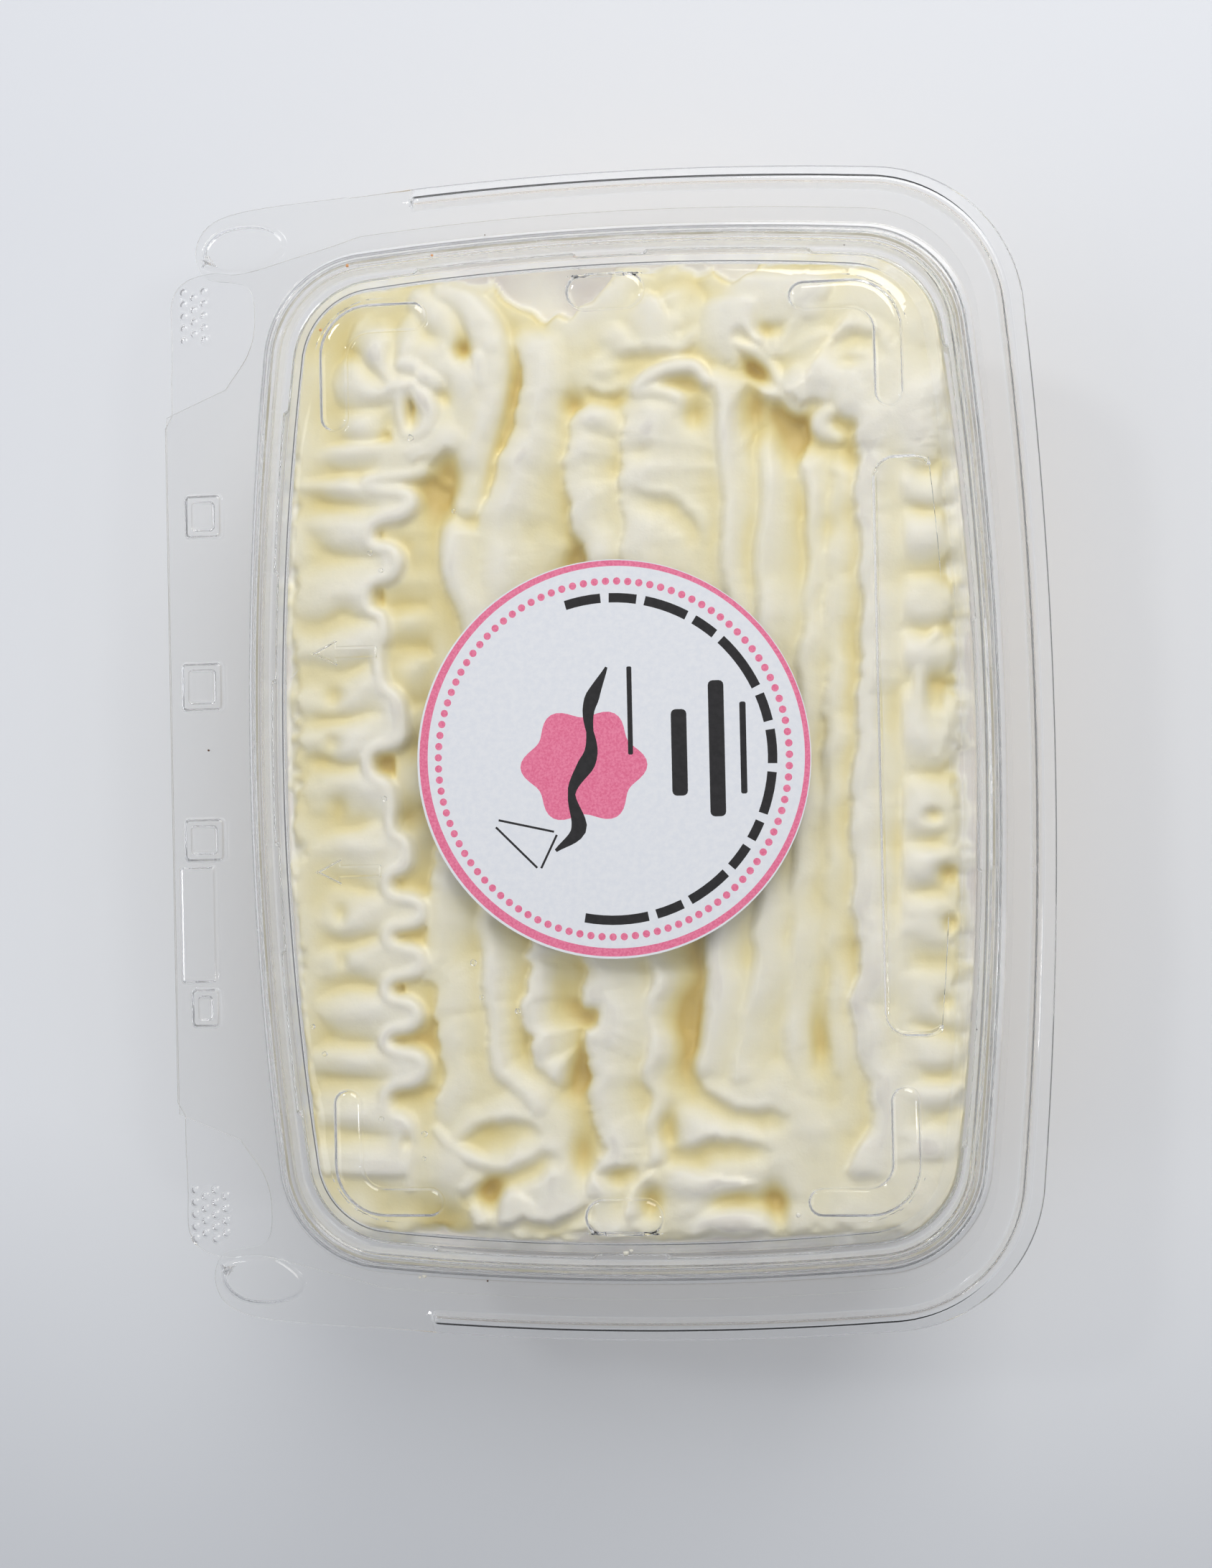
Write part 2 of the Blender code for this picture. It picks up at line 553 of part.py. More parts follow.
def move_origin(piece, place):
    """Puts a piece's origin at a place without moving its shape."""
    for vertex in piece.data.vertices:
        vertex.co -= place
    piece.location = place


def make_label(lid):
    """A round label on the lid's panel."""
    bottom = PANEL_Z + GAP
    rings = []
    for z in (bottom, bottom + LABEL_THICKNESS):
        ring = []
        for step in range(LABEL_STEPS):
            angle = 2 * math.pi * step / LABEL_STEPS
            x = LABEL_CENTRE[0] + LABEL_RADIUS * math.cos(angle)
            y = LABEL_CENTRE[1] + LABEL_RADIUS * math.sin(angle)
            ring.append(Vector((x, y, z)))
        rings.append(ring)
    label = new_object("label", lofted("label", rings, 35), (0.80, 0.82, 0.84), 0.4)
    move_origin(label, lid.location)
    label.parent = lid
    label.location = (0.0, 0.0, 0.0)
    return label


def make_sponge():
    """The sponge that fills the tray, its faces slightly uneven."""
    rings = []
    for side, end, z in SPONGE_PROFILE:
        ring = []
        for x, y in outline(side, end):
            swell = noise.noise(Vector((x, y, z * MM)) * SPONGE_GRAIN_SCALE) * SPONGE_GRAIN
            ring.append(Vector((x, y, FLANGE_Z + z * MM)) + Vector((x, y, 0)).normalized() * swell)
        rings.append(ring)
    return new_object("sponge_cake", lofted("sponge_cake", rings, 40), (0.80, 0.62, 0.33), 0.8)


def smooth_path(controls, step):
    """Points about a step apart on a smooth curve through the controls."""
    places = [Vector((x * MM, y * MM)) for x, y in controls]
    ends = [places[0] * 2 - places[1], *places, places[-1] * 2 - places[-2]]
    points = []
    for a, b, c, d in zip(ends, ends[1:], ends[2:], ends[3:]):
        parts = max(2, round((c - b).length / step))
        points += [between(a, b, c, d, part / parts) for part in range(parts)]
    points.append(places[-1])
    return points


def between(a, b, c, d, share):
    """A point from b to c on the smooth curve through a, b, c and d."""
    bend = 2 * a - 5 * b + 4 * c - d
    turn = 3 * b - a - 3 * c + d
    return 0.5 * (2 * b + (c - a) * share + bend * share ** 2 + turn * share ** 3)


def travelled(points):
    """The distance along a line of points to each of them."""
    distances = [0.0]
    for a, b in zip(points, points[1:]):
        distances.append(distances[-1] + (b - a).length)
    return distances


def graded(values, share):
    """The value at a share of the way through evenly spaced values."""
    place = share * (len(values) - 1)
    index = min(int(place), len(values) - 2)
    return values[index] + (values[index + 1] - values[index]) * (place - index)


def swept(bm, points, section_at, end_length):
    """Adds a closed tube along the points, thinner within a length of each end."""
    distances = travelled(points)
    rings = []
    for index, (point, distance) in enumerate(zip(points, distances)):
        ahead = points[min(index + 2, len(points) - 1)]
        behind = points[max(index - 2, 0)]
        along = (ahead - behind).normalized()
        across = Vector((-along.y, along.x))
        from_end = min(distance, distances[-1] - distance)
        swell = math.sqrt(1 - (1 - min(from_end / end_length, 1)) ** 2)
        section = section_at(point, distance, distance / distances[-1], 0.1 + 0.9 * swell)
        rings.append([bm.verts.new((*(point + across * shift), z)) for shift, z in section])
    count = len(rings[0])
    for ring, after in zip(rings, rings[1:]):
        for index in range(count):
            nxt = (index + 1) % count
            bm.faces.new((ring[index], ring[nxt], after[nxt], after[index]))
    bm.faces.new(rings[0][::-1])
    bm.faces.new(rings[-1])


def add_sheet(bm, line, widths, heights, waves):
    """Adds one piped sheet: a crisp lip, a crown, and a slope down to its far side."""
    edge, crown, far = (height * MM for height in heights)
    size, period, raggedness = (value * MM for value in waves)

    def section_at(point, distance, share, swell):
        phase = 2 * math.pi * distance / period
        phase += 1.2 * math.sin(phase / 3.3 + widths[0])
        tear = noise.noise(Vector((distance, edge, 0)) * 700) * raggedness
        push = size * math.sin(phase) + tear
        lift = 0.35 * size * math.cos(phase) + 0.4 * MM * noise.noise(Vector((*point, crown)) * 70)
        sink = (1 - swell) * (crown - CREAM_LAYER + 0.6 * MM)
        width = graded(widths, share) * MM
        start = width / 2 * (1 - swell) - push
        reach = width * swell + push
        lip = edge - sink + 0.6 * lift
        top = crown - sink + lift
        low = far - sink + 0.5 * lift
        shape = (
            (0.30, CREAM_ROOT),
            (0.16, min(lip - 2.4 * MM, CREAM_LAYER)),
            (0.03, lip - 1.3 * MM),
            (0.00, lip - 0.65 * MM),
            (0.04, lip - 0.1 * MM),
            (0.14, lip + 0.45 * (top - lip)),
            (0.36, top),
            (0.60, top - 0.28 * (top - low)),
            (0.84, top - 0.75 * (top - low)),
            (1.00, low),
            (0.98, CREAM_ROOT),
        )
        return [(start + reach * at, z) for at, z in shape]

    swept(bm, smooth_path(line, PIPING_STEP), section_at, SHEET_END)


def add_ruffle(bm, line, reach, heights, sizes, period):
    """Adds one ruffle: a thin lip that snakes, and pleats from it to a scalloped edge."""
    lip_z, pleat_z, outer_z = (height * MM for height in heights)
    side = 1 if reach > 0 else -1

    def section_at(point, distance, share, swell):
        phase = 2 * math.pi * distance / (period * MM)
        phase += 0.55 * math.sin(phase / 2.7 + 1.0) + 0.4 * math.sin(phase / 4.9)
        snake = math.sin(phase)
        lobe = -side * snake
        scallop = 1.6 * abs(math.sin(phase / 2 + 0.8)) - 1.0
        sink = (1 - swell) * 3.0 * MM
        inner = graded(sizes, share) * MM * snake * swell
        outer = reach * MM * swell + side * 1.1 * MM * scallop
        lip = lip_z + 0.15 * MM * lobe - sink
        pleat = pleat_z + 0.85 * MM * lobe - sink
        low = outer_z + 0.7 * MM * scallop - sink
        wide = side * LIP_WIDTH
        return [
            (inner + 1.6 * wide, CREAM_ROOT),
            (inner + 0.7 * wide, lip - 2.6 * MM),
            (inner, lip - 1.2 * MM),
            (inner + 0.1 * wide, lip - 0.35 * MM),
            (inner + 0.5 * wide, lip),
            (inner + 1.0 * wide, lip - 0.35 * MM),
            (inner + 1.35 * wide, pleat - 0.5 * MM + 0.25 * MM * lobe),
            ((inner + outer) / 2, pleat),
            (inner + 0.8 * (outer - inner), (pleat + low) / 2 + 0.35 * MM * scallop),
            (outer - side * 0.5 * MM, low),
            (outer, low - 0.9 * MM),
            (outer - side * 2.2 * MM, CREAM_ROOT),
        ]

    swept(bm, smooth_path(line, PIPING_STEP), section_at, RUFFLE_END)


def add_roll(bm, line, half_width, tops):
    """Adds one round roll of cream."""
    radius = half_width * MM
    depth = radius * ROLL_FLATNESS

    def section_at(_point, _distance, share, swell):
        middle = graded(tops, share) * MM - depth
        angles = [math.pi * step / 4 for step in range(8)]
        return [(math.cos(a) * radius * swell, middle + math.sin(a) * depth * swell) for a in angles]

    swept(bm, smooth_path(line, PIPING_STEP), section_at, 1.6 * radius)


def add_spread_layer(bm):
    """Adds the spread layer under the piping, with a patch left bare at the +Y end."""
    rings = []
    for inset, z in CREAM_LAYER_RINGS:
        end = HALF_Y - (inset + CREAM_END_EXTRA) * MM
        ring = []
        for x, y in outline(inset, inset + CREAM_END_EXTRA):
            bare = max(0.0, 1 - ((x - BARE_PATCH_X) / BARE_PATCH_HALF) ** 2)
            ring.append(bm.verts.new((x, min(y, end - BARE_PATCH_DEPTH * bare) if y > 0 else y, z)))
        rings.append(ring)
    count = len(rings[0])
    for ring, after in zip(rings, rings[1:]):
        for index in range(count):
            nxt = (index + 1) % count
            bm.faces.new((ring[index], ring[nxt], after[nxt], after[index]))
    bm.faces.new(rings[0][::-1])
    bm.faces.new(rings[-1])


def keep_largest(mesh):
    """Deletes every loose shell of a mesh but the one with the most vertices."""
    bm = bmesh.new()
    bm.from_mesh(mesh)
    seen = set()
    shells = []
    for start in bm.verts:
        if start in seen:
            continue
        shell = []
        waiting = [start]
        seen.add(start)
        while waiting:
            vertex = waiting.pop()
            shell.append(vertex)
            for edge in vertex.link_edges:
                other = edge.other_vert(vertex)
                if other not in seen:
                    seen.add(other)
                    waiting.append(other)
        shells.append(shell)
    largest = max(shells, key=len)
    for shell in shells:
        if shell is not largest:
            bmesh.ops.delete(bm, geom=shell, context="VERTS")
    bm.to_mesh(mesh)
    bm.free()


def make_cream():
    """The whipped cream: spread layer, sheets, ruffles and rolls fused into one body."""
    bm = bmesh.new()
    add_spread_layer(bm)
    for _name, line, widths, heights, waves in SHEETS:
        add_sheet(bm, line, widths, heights, waves)
    for _name, line, reach, heights, sizes, period in RUFFLES:
        add_ruffle(bm, line, reach, heights, sizes, period)
    for _name, line, half_width, tops in ROLLS:
        add_roll(bm, line, half_width, tops)
    bmesh.ops.recalc_face_normals(bm, faces=bm.faces)
    mesh = bpy.data.meshes.new("whipped_cream")
    bm.to_mesh(mesh)
    bm.free()
    cream = new_object("whipped_cream", mesh, (0.86, 0.82, 0.66), 0.5)
    fuse = cream.modifiers.new("fuse", "REMESH")
    fuse.mode = "VOXEL"
    fuse.voxel_size = CREAM_VOXEL
    apply_modifiers(cream)
    keep_largest(cream.data)
    thin = cream.modifiers.new("thin", "DECIMATE")
    thin.decimate_type = "COLLAPSE"
    triangles = sum(len(face.vertices) - 2 for face in cream.data.polygons)
    thin.ratio = CREAM_FACES / triangles
    apply_modifiers(cream)
    cream.data.shade_smooth()
    return cream


def main():
    for old in list(bpy.data.objects):
        bpy.data.objects.remove(old)
    make_tray()
    lid = make_lid()
    make_label(lid)
    make_sponge()
    make_cream()


main()
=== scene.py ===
"""Looks of the tres leches cake in its clear hinged pack: fine surfaces, materials, light, camera."""
import math

import bmesh
import bpy
import numpy as np
from mathutils import Matrix, Vector, noise
from mathutils.bvhtree import BVHTree
from mathutils.geometry import delaunay_2d_cdt


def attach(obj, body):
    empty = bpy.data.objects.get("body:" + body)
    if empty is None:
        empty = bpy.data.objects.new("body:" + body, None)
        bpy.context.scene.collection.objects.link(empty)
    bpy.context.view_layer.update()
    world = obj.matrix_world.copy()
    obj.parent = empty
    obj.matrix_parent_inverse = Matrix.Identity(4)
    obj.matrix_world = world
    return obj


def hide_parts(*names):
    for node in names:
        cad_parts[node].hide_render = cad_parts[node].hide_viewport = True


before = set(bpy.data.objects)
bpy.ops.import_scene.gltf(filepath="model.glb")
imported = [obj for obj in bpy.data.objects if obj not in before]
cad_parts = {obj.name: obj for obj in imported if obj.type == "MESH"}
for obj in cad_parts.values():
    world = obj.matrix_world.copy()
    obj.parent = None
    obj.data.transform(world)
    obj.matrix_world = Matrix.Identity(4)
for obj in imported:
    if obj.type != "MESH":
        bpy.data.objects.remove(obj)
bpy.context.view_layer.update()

MM = 0.001

# Camera, fitted to the outlines of the pack in the photograph
CAMERA_PLACE = (77.76 * MM, -13.55 * MM, 507.82 * MM)
CAMERA_TURNS = (1.0727, 9.7459, -1.4179)
SENSOR_HEIGHT = 24.0
LENS = 45.14

# Pack, as in the CAD
HALF_X = 69.1 * MM
HALF_Y = 94.0 * MM
SIDE_RADIUS = 750 * MM
END_RADIUS = 540 * MM
CORNER_RADIUS = 25 * MM
FLANGE_Z = 42 * MM
WALL = 0.5 * MM
GAP = 0.3 * MM
SIDE_RADIUS_PER_INSET = 19.0
END_RADIUS_PER_INSET = 10.0
CORNER_RADIUS_PER_INSET = 0.88
HINGE_X = -75.0 * MM
STRIP_X = HINGE_X + GAP / 2
STRIP_HALF_LENGTH = 57.4 * MM
POCKET_DEPTH = 0.9 * MM
POCKET_EASE = 0.8             # over how much of the wall a pocket's side slopes
POCKET_TOP = (11.0, -9.2)     # inset and height where the pockets start
POCKET_TOP_EASE = 1.2
RIGHT_POCKETS = ((19.8, 63.1),)
LEFT_POCKETS = ((0.0, 13.4), (31.0, 57.4))
END_POCKETS = ((5.8, 32.2),)
TRAY_PROFILE = (
    (0.0, 0.0, -1.6),
    (2.0, 2.0, 1.1),
    (3.0, 3.0, 1.1),
    (3.9, 3.9, -1.2),
    (8.2, 9.7, -1.2),
    (9.0, 10.7, 1.5),
    (10.1, 11.8, 1.5),
    (10.9, 12.6, -0.9),
    (12.4, 14.1, -0.9),
    (12.6, 14.3, -8.0),
    (13.4, 15.1, -9.0),
    (17.0, 18.8, -36.5),
    (18.2, 20.0, -40.0),
    (21.5, 23.3, -41.5),
)
TRAY_BENDS = (0, 0.45, 0.45, 0.6, 0.45, 0.45, 0.45, 0.5, 0.5, 0.7, 0.9, 1.8, 1.8, 0)
TROUGH_FOOT = 4
LID_EDGE = (6.7, 6.7, -0.9)
LID_DOME = ((12.7, 14.4, -0.6), (14.9, 16.5, 3.3), (16.3, 17.9, 4.0))
LID_BENDS = (0, 0.45, 0.45, 0.45, 0.6, 0.8, 0.9, 0)
PANEL_Z = FLANGE_Z + 4.0 * MM + WALL
WING_EDGE = (
    (-60.0, 91.0), (-67.0, 88.8), (-69.3, 84.5), (-67.6, 80.2),
    (-60.6, 78.4), (-59.4, 73.0), (-60.6, 67.4), (-64.6, 61.6),
)
LID_STRIP_EDGE = (
    (-46.5, 84.0), (-53.0, 82.4), (-58.5, 81.0), (-62.5, 80.4), (-66.4, 80.8),
    (-71.0, 79.6), (-73.3, 76.4), (-73.4, 70.0), (-73.5, 64.0),
)
LID_STRIP_X = -73.6 * MM
WING_PAD = (
    (-68.3, 82.0), (-67.6, 85.6), (-64.6, 88.0), (-60.0, 88.6), (-55.6, 87.6),
    (-53.8, 85.6), (-54.8, 83.4), (-58.4, 80.8), (-62.0, 80.6), (-66.0, 81.0),
)
WING_PAD_HEIGHT = 0.9
WING_PAD_RUN = 0.9
BEAD_RUN_OUT = 6              # ring points over which the rim's beads fade

# How finely the sheet is drawn
CORNER_STEPS = 24
STATION = 3.0
STATIONS_BY_POCKET = (-0.6, -0.25, 0.0, 0.25, 0.6)
CLEAR_OF_POCKET = 1.2
BEND_STEPS = 4
BEND_LIMIT = 0.48             # the most of a straight run that one bend may take
RIB_STEPS = 10
BOX_STEPS = 6
LEAST_RADIUS = 0.15
LEAST_MITRE = 0.35
TO_MM = 1000
SAME_POINT = 1e-7
SPLINE_PARTS = 24
EDGE_POINTS = 60
PAD_POINTS = 56
TRAY_STRIP_STEPS = 40
LID_STRIP_STEPS = 60
SHARP_ANGLE = 38
SPONGE_SHARP_ANGLE = 50
WELD = 1e-6
FINE_WELD = 1e-7

# Relief of the panel and the strip, in mm
RIB_WIDTH = 4.5
RIB_HEIGHT = 0.8
RIB_CORNER = (47.0, 73.4)
RIB_ARM_X = 15.5
RIB_ARM_Y = 18.0
RIB_BEND = 6.0
OVAL = (12.6, 6.0, 73.6)      # length, width, and distance from the middle
ARROW_PLACES = (17.3, -18.0)
ARROW_TIP_X = -49.2
ARROW_LENGTH = 10.6
ARROW_HEAD = 4.0
ARROW_STEM = 0.45             # as a share of the head's width
BUMP_PITCH = 2.0
BUMP_COLUMNS = 0.866          # their pitch over that of the rows, as in a honeycomb
BUMP_MARGINS = (0.9, 0.6)     # before the first bump and after the last
BUMP_STEPS = ((0.88, 0), (0.78, 0.08), (0.6, 0.3), (0.36, 0.46), (0.14, 0.52))   # radius and height
BUMP_PLACES = ((-72.0, -66.9, 68.9, 79.2), (-72.9, -67.4, -78.6, -68.9))
BLOCKS = (                  # x from and to, y from and to
    (-71.7, -65.3, 37.1, 44.4),
    (-72.8, -65.6, 8.7, 16.8),
    (-72.8, -65.8, -16.0, -8.8),
    (-72.1, -67.1, -43.2, -36.7),
)
BLOCK_HEIGHT = 0.8
BLOCK_CORNER = 1.0
BLOCK_RUN = 0.55              # how far in its side leans
BLOCK_WALL = 1.3
DISH_DEPTH = 0.45
DISH_CORNER = 0.7
DISH_RUN = 0.4
STRIP_FRAME = (-73.7, -67.5, -36.0, -16.6)
STRIP_FRAME_CORNER = 0.7
STRIP_FRAME_HEIGHT = 0.6
STRIP_FRAME_RUN = 0.6
RECESS = (42.2, 51.6, -45.0, 45.0)
RECESS_CORNER = 3.2
RECESS_BEAD = (0.42, 0.35)    # half width and height

# Cross sections of the relief: how far in from the outline, and the share of the height
PRESSED_STEPS = ((-0.3, 0.0), (-0.08, 0.02), (0.12, 0.14), (0.35, 0.42), (0.58, 0.76), (0.8, 0.94),
                 (1.0, 1.0), (1.35, 1.0))
TUBE_STEPS = ((-0.8, 0.0), (-0.45, -0.08), (-0.15, -0.1), (0.02, -0.02), (0.12, 0.2), (0.22, 0.42),
              (0.4, 0.64), (0.7, 0.82), (1.1, 0.93), (1.6, 1.0))
BEAD_STEPS = ((-1.0, 0.0), (-0.6, 0.62), (-0.2, 0.95), (0.2, 0.95), (0.6, 0.62), (1.0, 0.0))
ARROW_STEPS = ((-0.12, 0), (0.0, 0.1), (0.18, 0.3), (0.36, 0.36))   # the height is in mm here

# Label
LABEL_CENTRE = Vector((-0.4, -0.95))
LABEL_RADIUS = 31.7
LABEL_Z = (PANEL_Z + 0.02 * MM, PANEL_Z + 0.14 * MM)


def clamp(value, low=0.0, high=1.0):
    """The value, kept between two limits."""
    return min(max(value, low), high)


def eased(share):
    """A share from 0 to 1 that starts and stops softly."""
    share = np.clip(share, 0, 1)
    return share * share * (3 - 2 * share)


def linear(red, green, blue):
    """A colour given in ordinary 0 to 255 values, as light."""
    shares = (value / 255 for value in (red, green, blue))
    return tuple(s / 12.92 if s <= 0.04045 else ((s + 0.055) / 1.055) ** 2.4 for s in shares) + (1.0,)


# Nodes and materials
class Nodes:
    """A small helper that adds and joins nodes in one tree."""

    def __init__(self, tree):
        self.tree = tree
        tree.nodes.clear()

    def add(self, kind, links=None, **settings):
        """Adds a node; each input takes a number, a colour or another node's output."""
        node = self.tree.nodes.new(kind)
        for name, value in settings.items():
            setattr(node, name, value)
        for name, value in (links or {}).items():
            socket = node.inputs[name]
            if isinstance(value, bpy.types.NodeSocket):
                self.tree.links.new(value, socket)
            else:
                socket.default_value = value
        return node

    def ramp(self, value, stops):
        """A colour ramp with these places and colours."""
        node = self.add("ShaderNodeValToRGB", {"Fac": value})
        elements = node.color_ramp.elements
        while len(elements) < len(stops):
            elements.new(0.5)
        for element, (place, colour) in zip(elements, stops):
            element.position = place
            element.color = colour
        return node.outputs["Color"]

    def greys(self, value, *stops):
        """A ramp between shades of grey, for roughness and for shares."""
        return self.ramp(value, [(place, (grey, grey, grey, 1)) for place, grey in stops])

    def noise(self, scale, detail=2.0, roughness=0.5):
        """Noise that is fixed to the object."""
        coords = self.add("ShaderNodeTexCoord").outputs["Object"]
        links = {"Vector": coords, "Scale": scale, "Detail": detail, "Roughness": roughness}
        return self.add("ShaderNodeTexNoise", links).outputs["Fac"]

    def axis(self, coordinates, name):
        """One axis of the object's own coordinates, or of the backdrop's directions."""
        coords = self.add("ShaderNodeTexCoord").outputs[coordinates]
        return self.add("ShaderNodeSeparateXYZ", {0: coords}).outputs[name]

    def maths(self, operation, first, second=0.0):
        """One sum on two values."""
        return self.add("ShaderNodeMath", {0: first, 1: second}, operation=operation).outputs[0]

    def scaled(self, value, factor, added=0.0):
        """The value times a factor, with something added."""
        return self.maths("ADD", self.maths("MULTIPLY", value, factor), added)

    def multiplied(self, share, first, second):
        """The first colour, darkened by a share of the second."""
        links = {0: share, 6: first, 7: second}
        return self.add("ShaderNodeMix", links, data_type="RGBA", blend_type="MULTIPLY").outputs[2]

    def bump(self, height, strength, distance, normal=None):
        """A normal roughened by a height, over another normal if one is given."""
        links = {"Height": height, "Strength": strength, "Distance": distance}
        if normal is not None:
            links["Normal"] = normal
        return self.add("ShaderNodeBump", links).outputs["Normal"]

    def see_through(self, shader, tint, bounces=None):
        """Lets shadow rays and scattered rays straight through, and any ray after so many bounces."""
        path = self.add("ShaderNodeLightPath").outputs
        passing = self.maths("MAXIMUM", path["Is Shadow Ray"], path["Is Diffuse Ray"])
        if bounces is not None:
            deep = self.maths("GREATER_THAN", path["Ray Depth"], bounces + 0.5)
            passing = self.maths("MAXIMUM", passing, deep)
        clear = self.add("ShaderNodeBsdfTransparent", {"Color": tint})
        return self.add("ShaderNodeMixShader", {0: passing, 1: shader.outputs[0], 2: clear.outputs[0]})

    def finish(self, shader):
        """Makes the shader the material's surface."""
        self.add("ShaderNodeOutputMaterial", {"Surface": shader.outputs[0]})


def new_material(name):
    """An empty node material, with a helper for its nodes."""
    material = bpy.data.materials.new(name)
    material.use_nodes = True
    return material, Nodes(material.node_tree)


def plastic_material(name, tint):
    """Clear formed sheet that bends and mirrors light, and turns hazy where it is seen edge on."""
    material, nodes = new_material(name)
    waves = nodes.noise(60.0, 1.0)
    shader = nodes.add("ShaderNodeBsdfPrincipled", {
        "Base Color": tint, "Roughness": nodes.greys(waves, (0.35, 0.004), (0.7, 0.025)), "IOR": 1.5,
        "Transmission Weight": 1.0, "Normal": nodes.bump(waves, 0.16, 0.0004)})
    haze = nodes.add("ShaderNodeBsdfDiffuse", {"Color": (0.9, 0.91, 0.93, 1)})
    steep = nodes.add("ShaderNodeLayerWeight", {"Blend": 0.5}).outputs["Facing"]
    share = nodes.greys(steep, (0.3, 0.0), (0.95, 0.5))
    hazy = nodes.add("ShaderNodeMixShader", {0: share, 1: shader.outputs[0], 2: haze.outputs[0]})
    nodes.finish(nodes.see_through(hazy, (0.985, 0.985, 0.98, 1), 6))
    return material


def cream_material():
    """Whipped cream, with painted shade in its colour: pale on its crests, warmer and yellower down in its
    gaps and low places.
    """
    material, nodes = new_material("whipped_cream_soft")
    # The depth attribute carries painted shade: yellower in the cream's gaps and low places.
    depth = nodes.add("ShaderNodeAttribute", attribute_name="depth").outputs["Fac"]
    blotch = nodes.maths("SUBTRACT", nodes.noise(75.0, 3.0), 0.5)
    colour = nodes.ramp(nodes.scaled(blotch, 0.22, depth), (
        (0.0, linear(206, 199, 194)), (0.1, linear(236, 232, 218)), (0.42, linear(234, 227, 197)),
        (0.58, linear(229, 218, 172)), (0.78, linear(219, 203, 140)), (1.0, linear(203, 177, 100))))
    pores = nodes.noise(2200.0, 3.0, 0.6)
    streaks = nodes.noise(330.0, 3.0, 0.55)
    normal = nodes.bump(pores, 0.25, 0.0001, nodes.bump(streaks, 0.35, 0.0003))
    shader = nodes.add("ShaderNodeBsdfPrincipled", {
        "Base Color": colour, "Roughness": nodes.greys(streaks, (0.3, 0.38), (0.75, 0.55)), "Normal": normal,
        "Subsurface Weight": 0.65, "Subsurface Radius": (1.0, 0.8, 0.5), "Subsurface Scale": 0.0018,
        "Specular IOR Level": 0.35}, subsurface_method="BURLEY")
    nodes.finish(shader)
    return material


def sponge_material():
    """Milk-soaked sponge: an open crumb of uneven pores with painted shade in them, moister toward the
    bottom.
    """
    material, nodes = new_material("soaked_sponge")
    grain = nodes.noise(900.0, 5.0, 0.7)
    patch = nodes.noise(150.0, 3.0, 0.6)
    coords = nodes.add("ShaderNodeTexCoord").outputs["Object"]
    cells = nodes.add("ShaderNodeTexVoronoi", {"Vector": coords, "Scale": 420.0, "Randomness": 1.0})
    pores = nodes.scaled(patch, 0.9, cells.outputs["Distance"])
    crumb = nodes.scaled(pores, 0.6, nodes.maths("MULTIPLY", grain, 0.4))
    wet = nodes.scaled(nodes.axis("Object", "Z"), 14.0, nodes.noise(45.0, 4.0))
    soaked = nodes.ramp(wet, ((0.35, linear(222, 190, 138)), (0.95, linear(238, 216, 176))))
    # The pore colour is painted shade: darker down in the holes of the crumb.
    pore_shade = nodes.ramp(crumb, (
        (0.36, linear(205, 172, 122)), (0.46, linear(234, 214, 182)), (0.6, (1, 1, 1, 1))))
    shader = nodes.add("ShaderNodeBsdfPrincipled", {
        "Base Color": nodes.multiplied(0.7, soaked, pore_shade), "Normal": nodes.bump(crumb, 0.6, 0.0006),
        "Roughness": nodes.greys(patch, (0.3, 0.3), (0.7, 0.6)),
        "Subsurface Weight": 0.3, "Subsurface Radius": (1.0, 0.6, 0.3), "Subsurface Scale": 0.0015},
        subsurface_method="BURLEY")
    nodes.finish(shader)
    return material


def print_material(name, pale, strong, coarse, roughness):
    """Paper or ink on the label, with the faint speckle of the print."""
    material, nodes = new_material(name)
    colour = nodes.ramp(nodes.noise(coarse, 2.0, 0.7), ((0.35, strong), (0.65, pale)))
    fibres = nodes.bump(nodes.noise(1500.0, 2.0), 0.06, 0.0001)
    nodes.finish(nodes.add("ShaderNodeBsdfPrincipled", {
        "Base Color": colour, "Roughness": roughness, "Normal": fibres, "Coat Weight": 0.15,
        "Coat Roughness": 0.2}))
    return material


def crumb_material(name, low, high):
    """A crumb or a speck, with a little blotch and grain."""
    material, nodes = new_material(name)
    colour = nodes.ramp(nodes.noise(900.0, 3.0), ((0.35, low), (0.65, high)))
    grain = nodes.bump(nodes.noise(3600.0, 2.0), 0.3, 0.0002)
    nodes.finish(nodes.add("ShaderNodeBsdfPrincipled", {
        "Base Color": colour, "Roughness": 0.6, "Normal": grain}))
    return material


def seal_band_material():
    """A thin, patchy olive film."""
    material, nodes = new_material("olive_seal_band")
    patch = nodes.noise(110.0, 3.0)
    colour = nodes.ramp(patch, ((0.3, linear(182, 176, 154)), (0.7, linear(208, 202, 182))))
    cover = nodes.greys(patch, (0.35, 0.7), (0.65, 0.15))
    nodes.finish(nodes.add("ShaderNodeBsdfPrincipled", {
        "Base Color": colour, "Roughness": 0.5, "Alpha": cover}))
    return material


def drop_material():
    """Clear water."""
    material, nodes = new_material("water")
    waves = nodes.noise(900.0, 2.0)
    shader = nodes.add("ShaderNodeBsdfPrincipled", {
        "Base Color": (0.99, 0.99, 0.99, 1), "Roughness": nodes.greys(waves, (0.3, 0.0), (0.7, 0.03)),
        "IOR": 1.33, "Transmission Weight": 1.0, "Normal": nodes.bump(waves, 0.1, 0.0001)})
    nodes.finish(nodes.see_through(shader, (0.98, 0.98, 0.98, 1)))
    return material


# Meshes
def linked(name, data):
    """A new object in the scene."""
    made = bpy.data.objects.new(name, data)
    bpy.context.scene.collection.objects.link(made)
    return made


